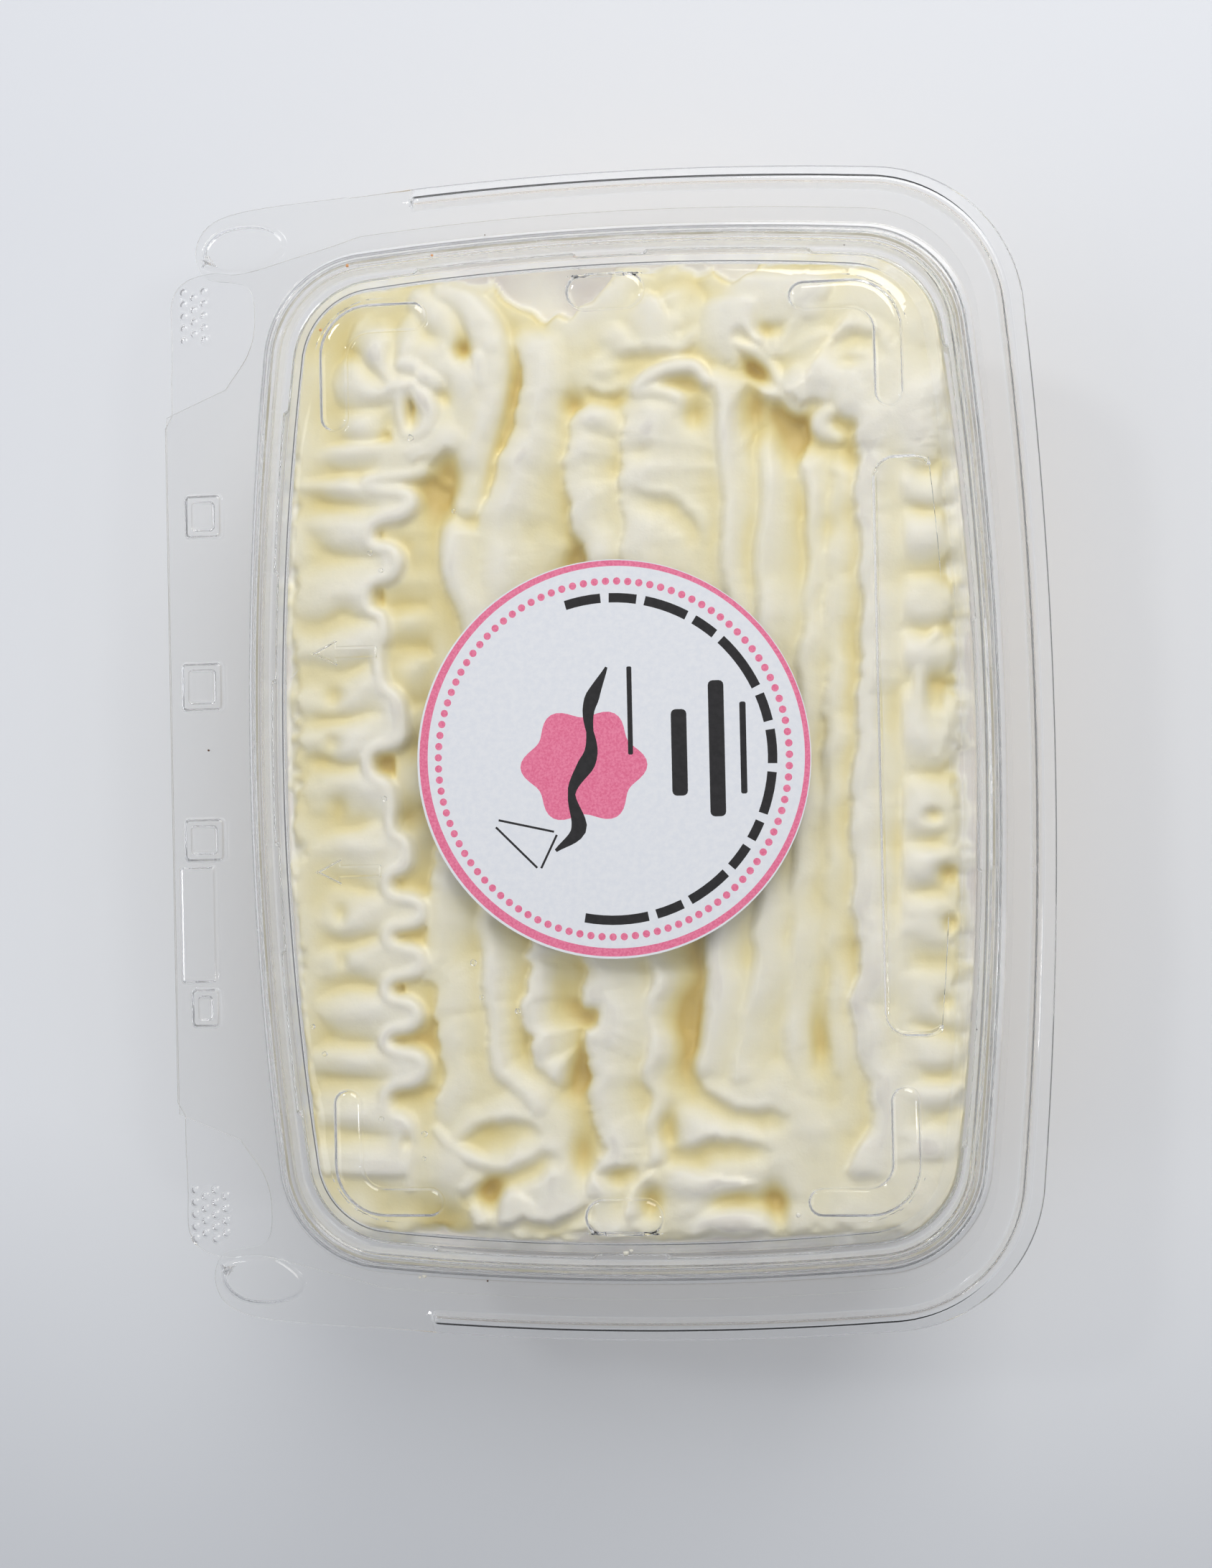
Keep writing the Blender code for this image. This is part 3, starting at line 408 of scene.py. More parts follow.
def mesh_of(name, bm, weld=None):
    """The finished mesh of the work so far, welded and with its faces turned out if asked."""
    if weld:
        bmesh.ops.remove_doubles(bm, verts=bm.verts, dist=weld)
        bmesh.ops.recalc_face_normals(bm, faces=bm.faces)
    mesh = bpy.data.meshes.new(name)
    bm.to_mesh(mesh)
    bm.free()
    return mesh


def add_piece(name, mesh, materials, body, replaced=()):
    """Adds a piece that rides on a body, and stands for a node if one is named."""
    piece = linked(name, mesh)
    for material in materials:
        mesh.materials.append(material)
    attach(piece, body)
    if replaced:
        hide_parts(*replaced)
    return piece


def applied(piece):
    """Replaces a piece's mesh by its evaluated one, without modifiers."""
    graph = bpy.context.evaluated_depsgraph_get()
    graph.update()
    shaped = bpy.data.meshes.new_from_object(piece.evaluated_get(graph))
    piece.modifiers.clear()
    old = piece.data
    piece.data = shaped
    bpy.data.meshes.remove(old)
    return piece


def shade(mesh, degrees):
    """Smooths the mesh, apart from bends sharper than the angle."""
    mesh.shade_smooth()
    mesh.set_sharp_from_angle(angle=math.radians(degrees))


def quadrant(half_x, half_y, side_radius, end_radius, corner_radius, side_stations, end_stations):
    """A quarter of the outline from +X round to +Y: side arc, corner arc and end arc."""
    side_centre = Vector((half_x - side_radius, 0.0))
    end_centre = Vector((0.0, half_y - end_radius))
    to_side = side_radius - corner_radius
    to_end = end_radius - corner_radius
    apart = end_centre - side_centre
    along = (to_side ** 2 - to_end ** 2 + apart.length_squared) / (2 * apart.length)
    across = math.sqrt(to_side ** 2 - along ** 2)
    unit = apart.normalized()
    corner = side_centre + unit * along + Vector((unit.y, -unit.x)) * across
    if corner.x < 0 or corner.y < 0:
        corner = side_centre + unit * along - Vector((unit.y, -unit.x)) * across
    first = (corner - side_centre).angle_signed(Vector((1.0, 0.0)))
    last = (corner - end_centre).angle_signed(Vector((1.0, 0.0)))
    points = [(side_centre.x + math.sqrt(side_radius ** 2 - y * y), y) for y in side_stations]
    for step in range(CORNER_STEPS + 1):
        angle = first + (last - first) * step / CORNER_STEPS
        turn = Vector((math.cos(angle), math.sin(angle)))
        points.append(tuple(corner + turn * corner_radius))
    points += [(x, end_centre.y + math.sqrt(end_radius ** 2 - x * x)) for x in reversed(end_stations)]
    return points


def stations(spans, last):
    """Stations along a half side, close together at the ends of the pockets, in metres."""
    places = {STATION * step for step in range(1, int(last / STATION) + 1)}
    edges = {value for span in spans for value in span if value > 0}
    places = {place for place in places if all(abs(place - edge) > CLEAR_OF_POCKET for edge in edges)}
    for edge in edges:
        places |= {edge + off for off in STATIONS_BY_POCKET}
    return [place * MM for place in sorted(places)]


RIGHT_STATIONS = stations(RIGHT_POCKETS, 62)
LEFT_STATIONS = stations(LEFT_POCKETS, 60)
END_STATIONS = stations(END_POCKETS, 36)
QUARTER = len(RIGHT_STATIONS) + CORNER_STEPS + 1 + len(END_STATIONS)


def outline(side_inset, end_inset):
    """One closed ring, anticlockwise from the middle of the +X side, at these insets in mm."""
    sizes = (
        HALF_X - side_inset * MM,
        HALF_Y - end_inset * MM,
        SIDE_RADIUS - side_inset * MM * SIDE_RADIUS_PER_INSET,
        END_RADIUS - side_inset * MM * END_RADIUS_PER_INSET,
        CORNER_RADIUS - side_inset * MM * CORNER_RADIUS_PER_INSET,
    )
    right = quadrant(*sizes, RIGHT_STATIONS, END_STATIONS)
    left = quadrant(*sizes, LEFT_STATIONS, END_STATIONS)
    ring = [(sizes[0], 0.0), *right, (0.0, sizes[1])]
    ring += [(-x, y) for x, y in reversed(left)]
    ring.append((-sizes[0], 0.0))
    ring += [(-x, -y) for x, y in left]
    ring.append((0.0, -sizes[1]))
    ring += [(x, -y) for x, y in reversed(right)]
    return ring


def hinge_range():
    """Where a ring's hinge side starts and ends: the first points of its two -X corners."""
    start = QUARTER + 2 + len(END_STATIONS)
    side = 2 * len(LEFT_STATIONS) + 1
    return start, start + 2 * CORNER_STEPS + 1 + side


def offset_profile(rows, distance):
    """The profile moved square to itself by a distance in mm, up if it is positive."""
    moved = []
    for index, (side, end, z) in enumerate(rows):
        normals = []
        for other in (index - 1, index):
            if 0 <= other < len(rows) - 1:
                run = rows[other + 1][0] - rows[other][0]
                rise = rows[other + 1][2] - rows[other][2]
                normals.append(Vector((-rise, run)).normalized())
        mean = sum(normals, Vector((0.0, 0.0))).normalized()
        mitre = distance / mean.dot(normals[0])
        moved.append((side + mean.x * mitre, end + mean.x * mitre, z + mean.y * mitre))
    return moved


def rounded(rows, bends):
    """The profile with each bend rounded over a length in mm to both sides of it."""
    rows = [Vector(row) for row in rows]
    finer = [rows[0]]
    for before, row, after, bend in zip(rows, rows[1:], rows[2:], bends[1:]):
        back = before - row
        ahead = after - row
        first = row + back.normalized() * min(bend, back.length * BEND_LIMIT)
        last = row + ahead.normalized() * min(bend, ahead.length * BEND_LIMIT)
        for step in range(BEND_STEPS + 1):
            t = step / BEND_STEPS
            finer.append(first * (1 - t) ** 2 + row * 2 * t * (1 - t) + last * t * t)
    finer.append(rows[-1])
    return [tuple(row) for row in finer]


def spline(controls, count=None, step=None):
    """Points on a smooth curve through the controls, by number or by spacing."""
    places = [Vector(control) for control in controls]
    ends = [places[0] * 2 - places[1], *places, places[-1] * 2 - places[-2]]
    dense = []
    for a, b, c, d in zip(ends, ends[1:], ends[2:], ends[3:]):
        for part in range(SPLINE_PARTS):
            t = part / SPLINE_PARTS
            bend = 2 * a - 5 * b + 4 * c - d
            turn = 3 * b - a - 3 * c + d
            dense.append(0.5 * (2 * b + (c - a) * t + bend * t ** 2 + turn * t ** 3))
    dense.append(places[-1])
    lengths = [0.0]
    for a, b in zip(dense, dense[1:]):
        lengths.append(lengths[-1] + (b - a).length)
    if count is None:
        count = max(3, round(lengths[-1] / step) + 1)
    points = []
    at = 0
    for index in range(count):
        goal = lengths[-1] * index / (count - 1)
        while at < len(dense) - 2 and lengths[at + 1] < goal:
            at += 1
        span = max(lengths[at + 1] - lengths[at], 1e-12)
        points.append(dense[at].lerp(dense[at + 1], clamp((goal - lengths[at]) / span)))
    return points


def inside(points, loop):
    """Which of the points lie inside a closed loop."""
    points = np.asarray(points)
    loop = np.asarray([tuple(place[:2]) for place in loop])
    hits = np.zeros(len(points), dtype=bool)
    for (ax, ay), (bx, by) in zip(loop, np.roll(loop, -1, axis=0)):
        crosses = (ay > points[:, 1]) != (by > points[:, 1])
        reach = ax + (points[:, 1] - ay) * (bx - ax) / (by - ay if by != ay else 1e-30)
        hits ^= crosses & (points[:, 0] < reach)
    return hits


def fill(bm, outer, loops=()):
    """Fills the outer loop with triangles that keep to all the inner loops."""
    places = []
    edges = []
    for loop in (outer, *loops):
        start = len(places)
        places += [Vector(place) for place in loop]
        edges += [(start + i, start + (i + 1) % len(loop)) for i in range(len(loop))]
    flat = [place.xy * TO_MM for place in places]
    found, _, faces, origins, _, _ = delaunay_2d_cdt(flat, edges, [], 0, SAME_POINT)
    middles = [sum((found[i] for i in face), Vector((0, 0))) / len(face) / TO_MM for face in faces]
    keep = inside(middles, outer)
    verts = []
    for place, origin in zip(found, origins):
        z = places[origin[0]].z if origin else outer[0][2]
        verts.append(bm.verts.new((place.x / TO_MM, place.y / TO_MM, z)))
    made = []
    for face, wanted, middle in zip(faces, keep, middles):
        if wanted:
            made.append((bm.faces.new([verts[i] for i in face]), middle))
    for vert in verts:
        if not vert.link_faces:
            bm.verts.remove(vert)
    return made


def add_strip(bm, rings, closed, first=0, last=None):
    """Adds quads between rings of equal length, all round or only from first to last."""
    rows = [[bm.verts.new(place) for place in ring] for ring in rings]
    count = len(rows[0])
    span = range(count) if closed else range(first, last)
    for low, high in zip(rows, rows[1:]):
        for index in span:
            after = (index + 1) % count
            bm.faces.new((low[index], low[after], high[after], high[index]))
    for row in rows:
        for vert in row:
            if not vert.link_faces:
                bm.verts.remove(vert)


def solid_sheet(name, bm):
    """Gives the sheet its thickness, half to each side, and smooths it between its sharp bends."""
    piece = linked(name, mesh_of(name, bm, WELD))
    thick = piece.modifiers.new("thick", "SOLIDIFY")
    thick.thickness = WALL
    thick.offset = 0.0
    thick.use_even_offset = True
    applied(piece)
    shade(piece.data, SHARP_ANGLE)
    normals = piece.modifiers.new("normals", "WEIGHTED_NORMAL")
    normals.keep_sharp = True
    normals.weight = 100
    applied(piece)
    mesh = piece.data
    bpy.data.objects.remove(piece)
    return mesh


def level(points, z):
    """Flat points in mm, as places in metres at one height."""
    return [Vector((x * MM, y * MM, z)) for x, y in points]


def risen(outline_at, steps, run, height, z):
    """Loops of a feature that follows a cross section, in from its outline and up from the sheet."""
    return [level(outline_at(inset * run), z + rise * height * MM) for inset, rise in steps]


def pressed(outline_at, height, z, run):
    """Loops of a feature pressed out of the sheet by a height, with rounded bends."""
    return risen(outline_at, PRESSED_STEPS, run, height, z)


def tube(outline_at, height, z):
    """Loops of a rib with steep sides and a soft top, which stands up from a shallow ditch."""
    return risen(outline_at, TUBE_STEPS, 1.0, height, z)


def stadium(length, width):
    """A slot outline along X, round at both ends."""
    radius = width / 2
    reach = length / 2 - radius
    points = []
    for side, centre in ((0, reach), (1, -reach)):
        for step in range(RIB_STEPS + 1):
            angle = -math.pi / 2 + math.pi * (side + step / RIB_STEPS)
            points.append((centre + radius * math.cos(angle), radius * math.sin(angle)))
    return points


def corner_rib(sign_x, sign_y, inset):
    """An L-shaped rib outline that follows one corner of the panel."""
    full = RIB_WIDTH / 2
    half = full - inset
    corner_x, corner_y = RIB_CORNER[0] - full, RIB_CORNER[1] - full
    centre = Vector((corner_x - RIB_BEND, corner_y - RIB_BEND))
    end_x = corner_x - RIB_ARM_X + full
    end_y = corner_y - RIB_ARM_Y + full
    points = []
    for start, turn, middle, radius in (
            (0.0, 0.5, centre, RIB_BEND + half), (0.5, 1.0, Vector((end_x, corner_y)), half),
            (0.5, -0.5, centre, RIB_BEND - half), (1.0, 1.0, Vector((corner_x, end_y)), half)):
        for step in range(RIB_STEPS + 1):
            angle = math.pi * (start + turn * step / RIB_STEPS)
            points.append(middle + Vector((math.cos(angle), math.sin(angle))) * radius)
    return [(point.x * sign_x, point.y * sign_y) for point in points]


def rounded_box(x0, x1, y0, y1, radius, inset, steps=BOX_STEPS):
    """A rectangle outline with round corners, drawn in by an inset."""
    x0, x1, y0, y1 = x0 + inset, x1 - inset, y0 + inset, y1 - inset
    radius = max(radius - inset, LEAST_RADIUS)
    points = []
    for cx, cy, start in ((x1 - radius, y1 - radius, 0), (x0 + radius, y1 - radius, 1),
                          (x0 + radius, y0 + radius, 2), (x1 - radius, y0 + radius, 3)):
        for step in range(steps + 1):
            angle = math.pi / 2 * (start + step / steps)
            points.append((cx + radius * math.cos(angle), cy + radius * math.sin(angle)))
    return points


def shrunk(points, inset):
    """A closed outline moved square to itself inward by an inset."""
    count = len(points)
    pairs = zip(points, [*points[1:], points[0]])
    sign = 1 if sum(ax * by - bx * ay for (ax, ay), (bx, by) in pairs) > 0 else -1
    moved = []
    for index in range(count):
        before, here, after = (Vector(points[(index + step) % count]) for step in (-1, 0, 1))
        a = (here - before).normalized()
        b = (after - here).normalized()
        mean = (Vector((-a.y, a.x)) + Vector((-b.y, b.x))).normalized() * sign
        reach = max(LEAST_MITRE, mean.dot(Vector((-a.y, a.x)) * sign))
        moved.append(tuple(here + mean * inset / reach))
    return moved


def arrow(y):
    """A broad arrow outline that points at the hinge strip."""
    half = ARROW_HEAD / 2
    stem = half * ARROW_STEM
    neck = ARROW_TIP_X + ARROW_HEAD
    tail = ARROW_TIP_X + ARROW_LENGTH
    return [(ARROW_TIP_X, y), (neck, y - half), (neck, y - stem), (tail, y - stem),
            (tail, y + stem), (neck, y + stem), (neck, y + half)]


def pocket_share(x, y, is_side):
    """How far a wall point is pressed out into a pocket, from 0 to 1."""
    spans = (LEFT_POCKETS if x < 0 else RIGHT_POCKETS) if is_side else END_POCKETS
    place = abs(y if is_side else x) / MM
    share = 0.0
    for start, end in spans:
        into = 1.0 if start == 0 else eased((place - start) / POCKET_EASE + 0.5)
        share = max(share, min(into, 1 - eased((place - end) / POCKET_EASE + 0.5)))
    return share


def ring_at(side, end, z):
    """The ring at these insets and this height over the flange's level, all in mm."""
    return [Vector((x, y, FLANGE_Z + z * MM)) for x, y in outline(side, end)]


def tray_ring(side, end, z):
    """One ring of the tray, with the pockets in its wall pressed out."""
    plain = outline(side, end)
    inset, height = POCKET_TOP
    deep = eased((side - inset) / POCKET_TOP_EASE) * eased((z - height) / POCKET_TOP_EASE)
    if deep > 0:
        far = outline(side - POCKET_DEPTH / MM, end - POCKET_DEPTH / MM)
        for index, (x, y) in enumerate(plain):
            is_side = abs(y) < HALF_Y - CORNER_RADIUS
            if is_side or abs(x) < HALF_X - CORNER_RADIUS:
                share = deep * pocket_share(x, y, is_side)
                plain[index] = tuple(Vector(plain[index]).lerp(Vector(far[index]), share))
    height = FLANGE_Z + z * MM
    return [Vector((x, y, height)) for x, y in plain]


def fade_to(rings, flat, start, end):
    """Lets the rim's beads run out flat where they come to the hinge side."""
    count = len(rings[0])
    for ring in rings:
        for step in range(BEAD_RUN_OUT + 1):
            share = eased(step / BEAD_RUN_OUT)
            left = BEAD_RUN_OUT - step
            for index in ((start - left) % count, (end + left) % count):
                ring[index].z += (flat - ring[index].z) * share


def wing_edge(sign):
    """The tray's edge round one thumb wing, from the end of the pack to the hinge strip."""
    start = outline(0, 0)[hinge_range()[0]]
    controls = [Vector(start), *(Vector((x, y)) * MM for x, y in WING_EDGE)]
    return [Vector((point.x, point.y * sign)) for point in spline(controls, count=EDGE_POINTS)]


def wing_pad(sign, inset):
    """The D-shaped thumb pad on a wing of the tray."""
    closed = spline([*WING_PAD, WING_PAD[0]], count=PAD_POINTS)[:-1]
    points = shrunk([tuple(point) for point in closed], inset)
    return [(x, y * sign) for x, y in points]


def make_tray(material):
    """The base: rim, seal ridge, wall with pockets, and floor, with the wings and the strip."""
    rows = rounded(offset_profile(TRAY_PROFILE, -WALL / MM / 2), TRAY_BENDS)
    foot = 1 + (TROUGH_FOOT - 1) * (BEND_STEPS + 1)
    rings = [tray_ring(*row) for row in rows]
    start, end = hinge_range()
    flat = rings[foot][0].z
    fade_to(rings[:foot], flat, start, end)
    bm = bmesh.new()
    add_strip(bm, rings[foot:], True)
    count = len(rings[0])
    rim = [ring[end:] + ring[:start + 1] for ring in rings[:foot + 1]]
    add_strip(bm, rim, False, 0, len(rim[0]) - 1)
    inner = rings[foot][start:end + 1]
    left = []
    for step in range(TRAY_STRIP_STEPS + 1):
        y = STRIP_HALF_LENGTH - 2 * STRIP_HALF_LENGTH * step / TRAY_STRIP_STEPS
        left.append(Vector((STRIP_X, y)))
    upper = wing_edge(1)
    lower = wing_edge(-1)[::-1]
    edge = upper[1:] + left + lower[:-1]
    outer = [Vector((point.x, point.y, flat)) for point in edge]
    across_top = [ring[start] for ring in rings[:foot]]
    across_low = [ring[end] for ring in rings[:foot]]
    border = across_top[::-1][-1:] + outer + across_low + inner[::-1] + across_top[::-1][:-1]
    loops = []
    for sign in (1, -1):
        loops += pressed(lambda inset, s=sign: wing_pad(s, inset), WING_PAD_HEIGHT, flat, WING_PAD_RUN)
    fill(bm, border, loops)
    fill(bm, rings[-1])
    return add_piece("tray_sheet", solid_sheet("tray", bm), [material], "base", ("tray",))


def make_lid(material):
    """The lid: strip and flange, seal bead, dome and panel, with their relief."""
    nest = offset_profile(TRAY_PROFILE, GAP / MM)[4:8]
    rows = rounded(offset_profile([LID_EDGE, *nest, *LID_DOME], WALL / MM / 2), LID_BENDS)
    rings = [ring_at(*row) for row in rows]
    start, end = hinge_range()
    bm = bmesh.new()
    add_strip(bm, rings[1:], True)
    rim = [ring[end:] + ring[:start + 1] for ring in rings[:2]]
    add_strip(bm, rim, False, 0, len(rim[0]) - 1)
    flat = rings[0][0].z
    inner = rings[1][start:end + 1]
    first = Vector(rings[0][start].xy)
    corner = spline([first, *(Vector(place) * MM for place in LID_STRIP_EDGE)], count=EDGE_POINTS)
    side = []
    for step in range(LID_STRIP_STEPS + 1):
        y = LID_STRIP_EDGE[-1][1] * MM * (1 - step / (LID_STRIP_STEPS / 2))
        side.append(Vector((STRIP_X if abs(y) < STRIP_HALF_LENGTH else LID_STRIP_X, y)))
    edge = corner[:-1] + side + [Vector((point.x, -point.y)) for point in corner[:-1][::-1]]
    border = [Vector((point.x, point.y, flat)) for point in edge] + inner[::-1]
    fill(bm, border, strip_relief(flat))
    panel = rings[-1]
    fill(bm, panel, panel_relief(panel[0].z))
    return add_piece("lid_sheet", solid_sheet("lid", bm), [material], "lid_body", ("lid",))


def circle(x, y, radius, steps=14):
    """The points of a circle."""
    angles = [2 * math.pi * step / steps for step in range(steps)]
    return [(x + radius * math.cos(angle), y + radius * math.sin(angle)) for angle in angles]


def strip_relief(z):
    """Grip bumps, blocks and a frame pressed up in the lid's strip."""
    loops = []
    column_pitch = BUMP_PITCH * BUMP_COLUMNS
    before, after = BUMP_MARGINS
    for x0, x1, y0, y1 in BUMP_PLACES:
        for column in range(int((x1 - x0) / column_pitch) + 1):
            x = x0 + before + column * column_pitch
            y = y0 + before + (column % 2) * BUMP_PITCH / 2
            while y < y1 - after:
                loops += [level(circle(x, y, radius), z + rise * MM) for radius, rise in BUMP_STEPS]
                y += BUMP_PITCH
    top = z + BLOCK_HEIGHT * MM
    for x0, x1, y0, y1 in BLOCKS:
        def block(inset, box=(x0, x1, y0, y1)):
            return rounded_box(*box, BLOCK_CORNER, inset)

        def dish(inset, box=(x0 + BLOCK_WALL, x1 - BLOCK_WALL, y0 + BLOCK_WALL, y1 - BLOCK_WALL)):
            return rounded_box(*box, DISH_CORNER, inset)

        loops += pressed(block, BLOCK_HEIGHT, z, BLOCK_RUN)
        loops += pressed(dish, -DISH_DEPTH, top, DISH_RUN)

    def frame_line(inset):
        return rounded_box(*STRIP_FRAME, STRIP_FRAME_CORNER, inset)

    return loops + pressed(frame_line, STRIP_FRAME_HEIGHT, z, STRIP_FRAME_RUN)


def panel_relief(z):
    """The L-shaped ribs, ovals, arrows and the shallow band pressed in the panel."""
    loops = []
    for sign_x in (1, -1):
        for sign_y in (1, -1):
            loops += tube(lambda inset, a=sign_x, b=sign_y: corner_rib(a, b, inset), RIB_HEIGHT, z)
    length, width, middle = OVAL
    for sign in (1, -1):
        def oval(inset, s=sign):
            return [(x, y + middle * s) for x, y in stadium(length - 2 * inset, width - 2 * inset)]
        loops += tube(oval, RIB_HEIGHT, z)
    for y in ARROW_PLACES:
        loops += risen(lambda inset, place=y: shrunk(arrow(place), inset), ARROW_STEPS, 1.0, 1.0, z)
    half, height = RECESS_BEAD
    loops += risen(lambda inset: rounded_box(*RECESS, RECESS_CORNER, inset), BEAD_STEPS, half, height, z)
    return loops


# Whipped cream, in mm throughout: heights over a grid, laid form by form
CREAM_BOTTOM = 32.1
CREAM_LAYER = 41.3
CREAM_LOW = 39.6
CREAM_TOP = 44.9
CREAM_CELL = 0.45
CREAM_INSET = 12.65
CREAM_FOOT = (33.9, 1.1)      # where the wall below starts to lean in, and by how much
CREAM_END_EXTRA = 1.7
CREAM_MARGIN = (3.4, 1.8)     # how far from the wall the cream starts to drop, and how much
CREAM_BARE_EDGE = 0.8
CREAM_SWELLS = ((0.55, 11, 17, 1), (0.35, 4, 7, 2))   # height, size along X and Y, and seed
CREAM_RAGS = ((1.3, 3.5, 3.5, 3), (0.6, 1.3, 1.3, 4))
SHEET_END = 7.0               # how long a sheet takes to rise at either end
LINE_STEP = 0.4
SHEET_STEP = 0.5
RUFFLE_STEP = 0.35
CHUNK = 20000                 # how many places are measured against a line at a time

# How steeply the forms drop past their edges, in mm for each mm
LIP_FALL = 3.8
RUFFLE_FALL = 2.2
FAN_FALL = 1.8
ROLL_FALL = 3.5

# Mounds: how square they are, the share of the way out where they drop, how steeply, and
# their lumps
MOUND_POWER = 2.5
MOUND_FLAT = 0.6
MOUND_DROP = 2.6
MOUND_LUMPS = ((0.5, 6, 6, 61), (0.1, 2, 2, 62))

# Sheets: shares of the width from the crisp edge to past the far side, how the pace of the
# edge's waves sways, how deep its tears are, the pleats that run in from the waves and how
# they turn and fade, and the groove pressed in front of the edge (depth and width)
SHEET_SHARES = (0, 0.04, 0.12, 0.26, 0.55, 1.0, 1.5)
SHEET_SWAY = 0.9
SHEET_SWAY_PERIODS = 3.3
SHEET_TEARS = 1.4
SHEET_RAGS = ((1, 1.5, 1, 11), (0.6, 0.6, 1, 12))
SHEET_PLEATS = 0.55
SHEET_PLEAT_TURN = 1.6
SHEET_PLEAT_FADE = 1.3
SHEET_GROOVE = (0.3, 0.8)

# Pleats: how deep they are from the inner edge to the outer one, as shares of their depth
PLEAT_PLACES = (0, 0.12, 0.35, 0.85, 1.0)
PLEAT_DEPTHS = (0.1, 0.6, 1.0, 0.85, 0.6)

# Ruffles: how their pleats sway, and their ragged edge and soft lumps
RUFFLE_SWAY = (0.9, 7)        # how far, and over what length
RUFFLE_WANDER = (1.1, 5, 5, 45)
RUFFLE_RAGS = ((0.7, 2.2, 1, 41), (0.45, 0.8, 1, 42))
RUFFLE_LUMPS = ((0.12, 1.6, 5, 43), (0.2, 5, 4, 44))
RUFFLE_END = (3, 1.2)         # how far before its last creases it drops, and how steeply
SNAKE_CLIMB = 0.115           # how much a snaking lip bunches up at its turns

# Fans: how their petals' angle wanders, their soft lumps, and how they drop at their ends
FAN_WANDER = 4
FAN_LUMPS = (0.25, 3, 3, 48)
FAN_END = (6, 0.12)           # in degrees before the last creases, and mm for each degree

# Rolls, as shares of the half widths in their table
ROLL_SWELL = 1.15
ROLL_ROUND = 0.72
ROLL_LUMPS = (0.14, 2.3, 2.3, 31)

# Folds: the lip raised along their upper edge (height and width)
FOLD_LIP = (0.25, 0.7)
FOLD_RAGS = ((0.25, 2, 1, 52), (0.15, 0.8, 1, 53))

# The roll along a ruffle's lip: half widths, and heights over the lip
RUFFLE_ROLL = (0.9, 1.15, 0.9, 1.1, 0.85, 1.15, 1.0, 1.1, 0.8)
RUFFLE_RISES = (0.2, 0.4, 0.1, 0.2, 0.1, 0.3, 0.4, 0.3, -0.6)

# The last smoothing of the relief, and how its tops flatten out below the lid
CREST_SOFTENING = 0.4
FORM_CONTRAST = 0.2
FLAT_TOP = 0.7
FINE_GRAIN = (0.04, 0.9, 1.3, 51)

# The colour's depth, painted shade from 0 on a pale crest to 1 in a deep gap or low place
PAINTED_SHADE_MIDDLE = 0.42
PAINTED_SHADE_PER_HOLLOW = 4.2        # mm below its surroundings that take the depth up by 1
PAINTED_SHADE_PER_MM = 0.13
PAINTED_SHADE_LEVEL = 42.6
PAINTED_SHADE_RANGE = (0.1, 1)
PAINTED_SHADE_ON_WHEY = 0.04

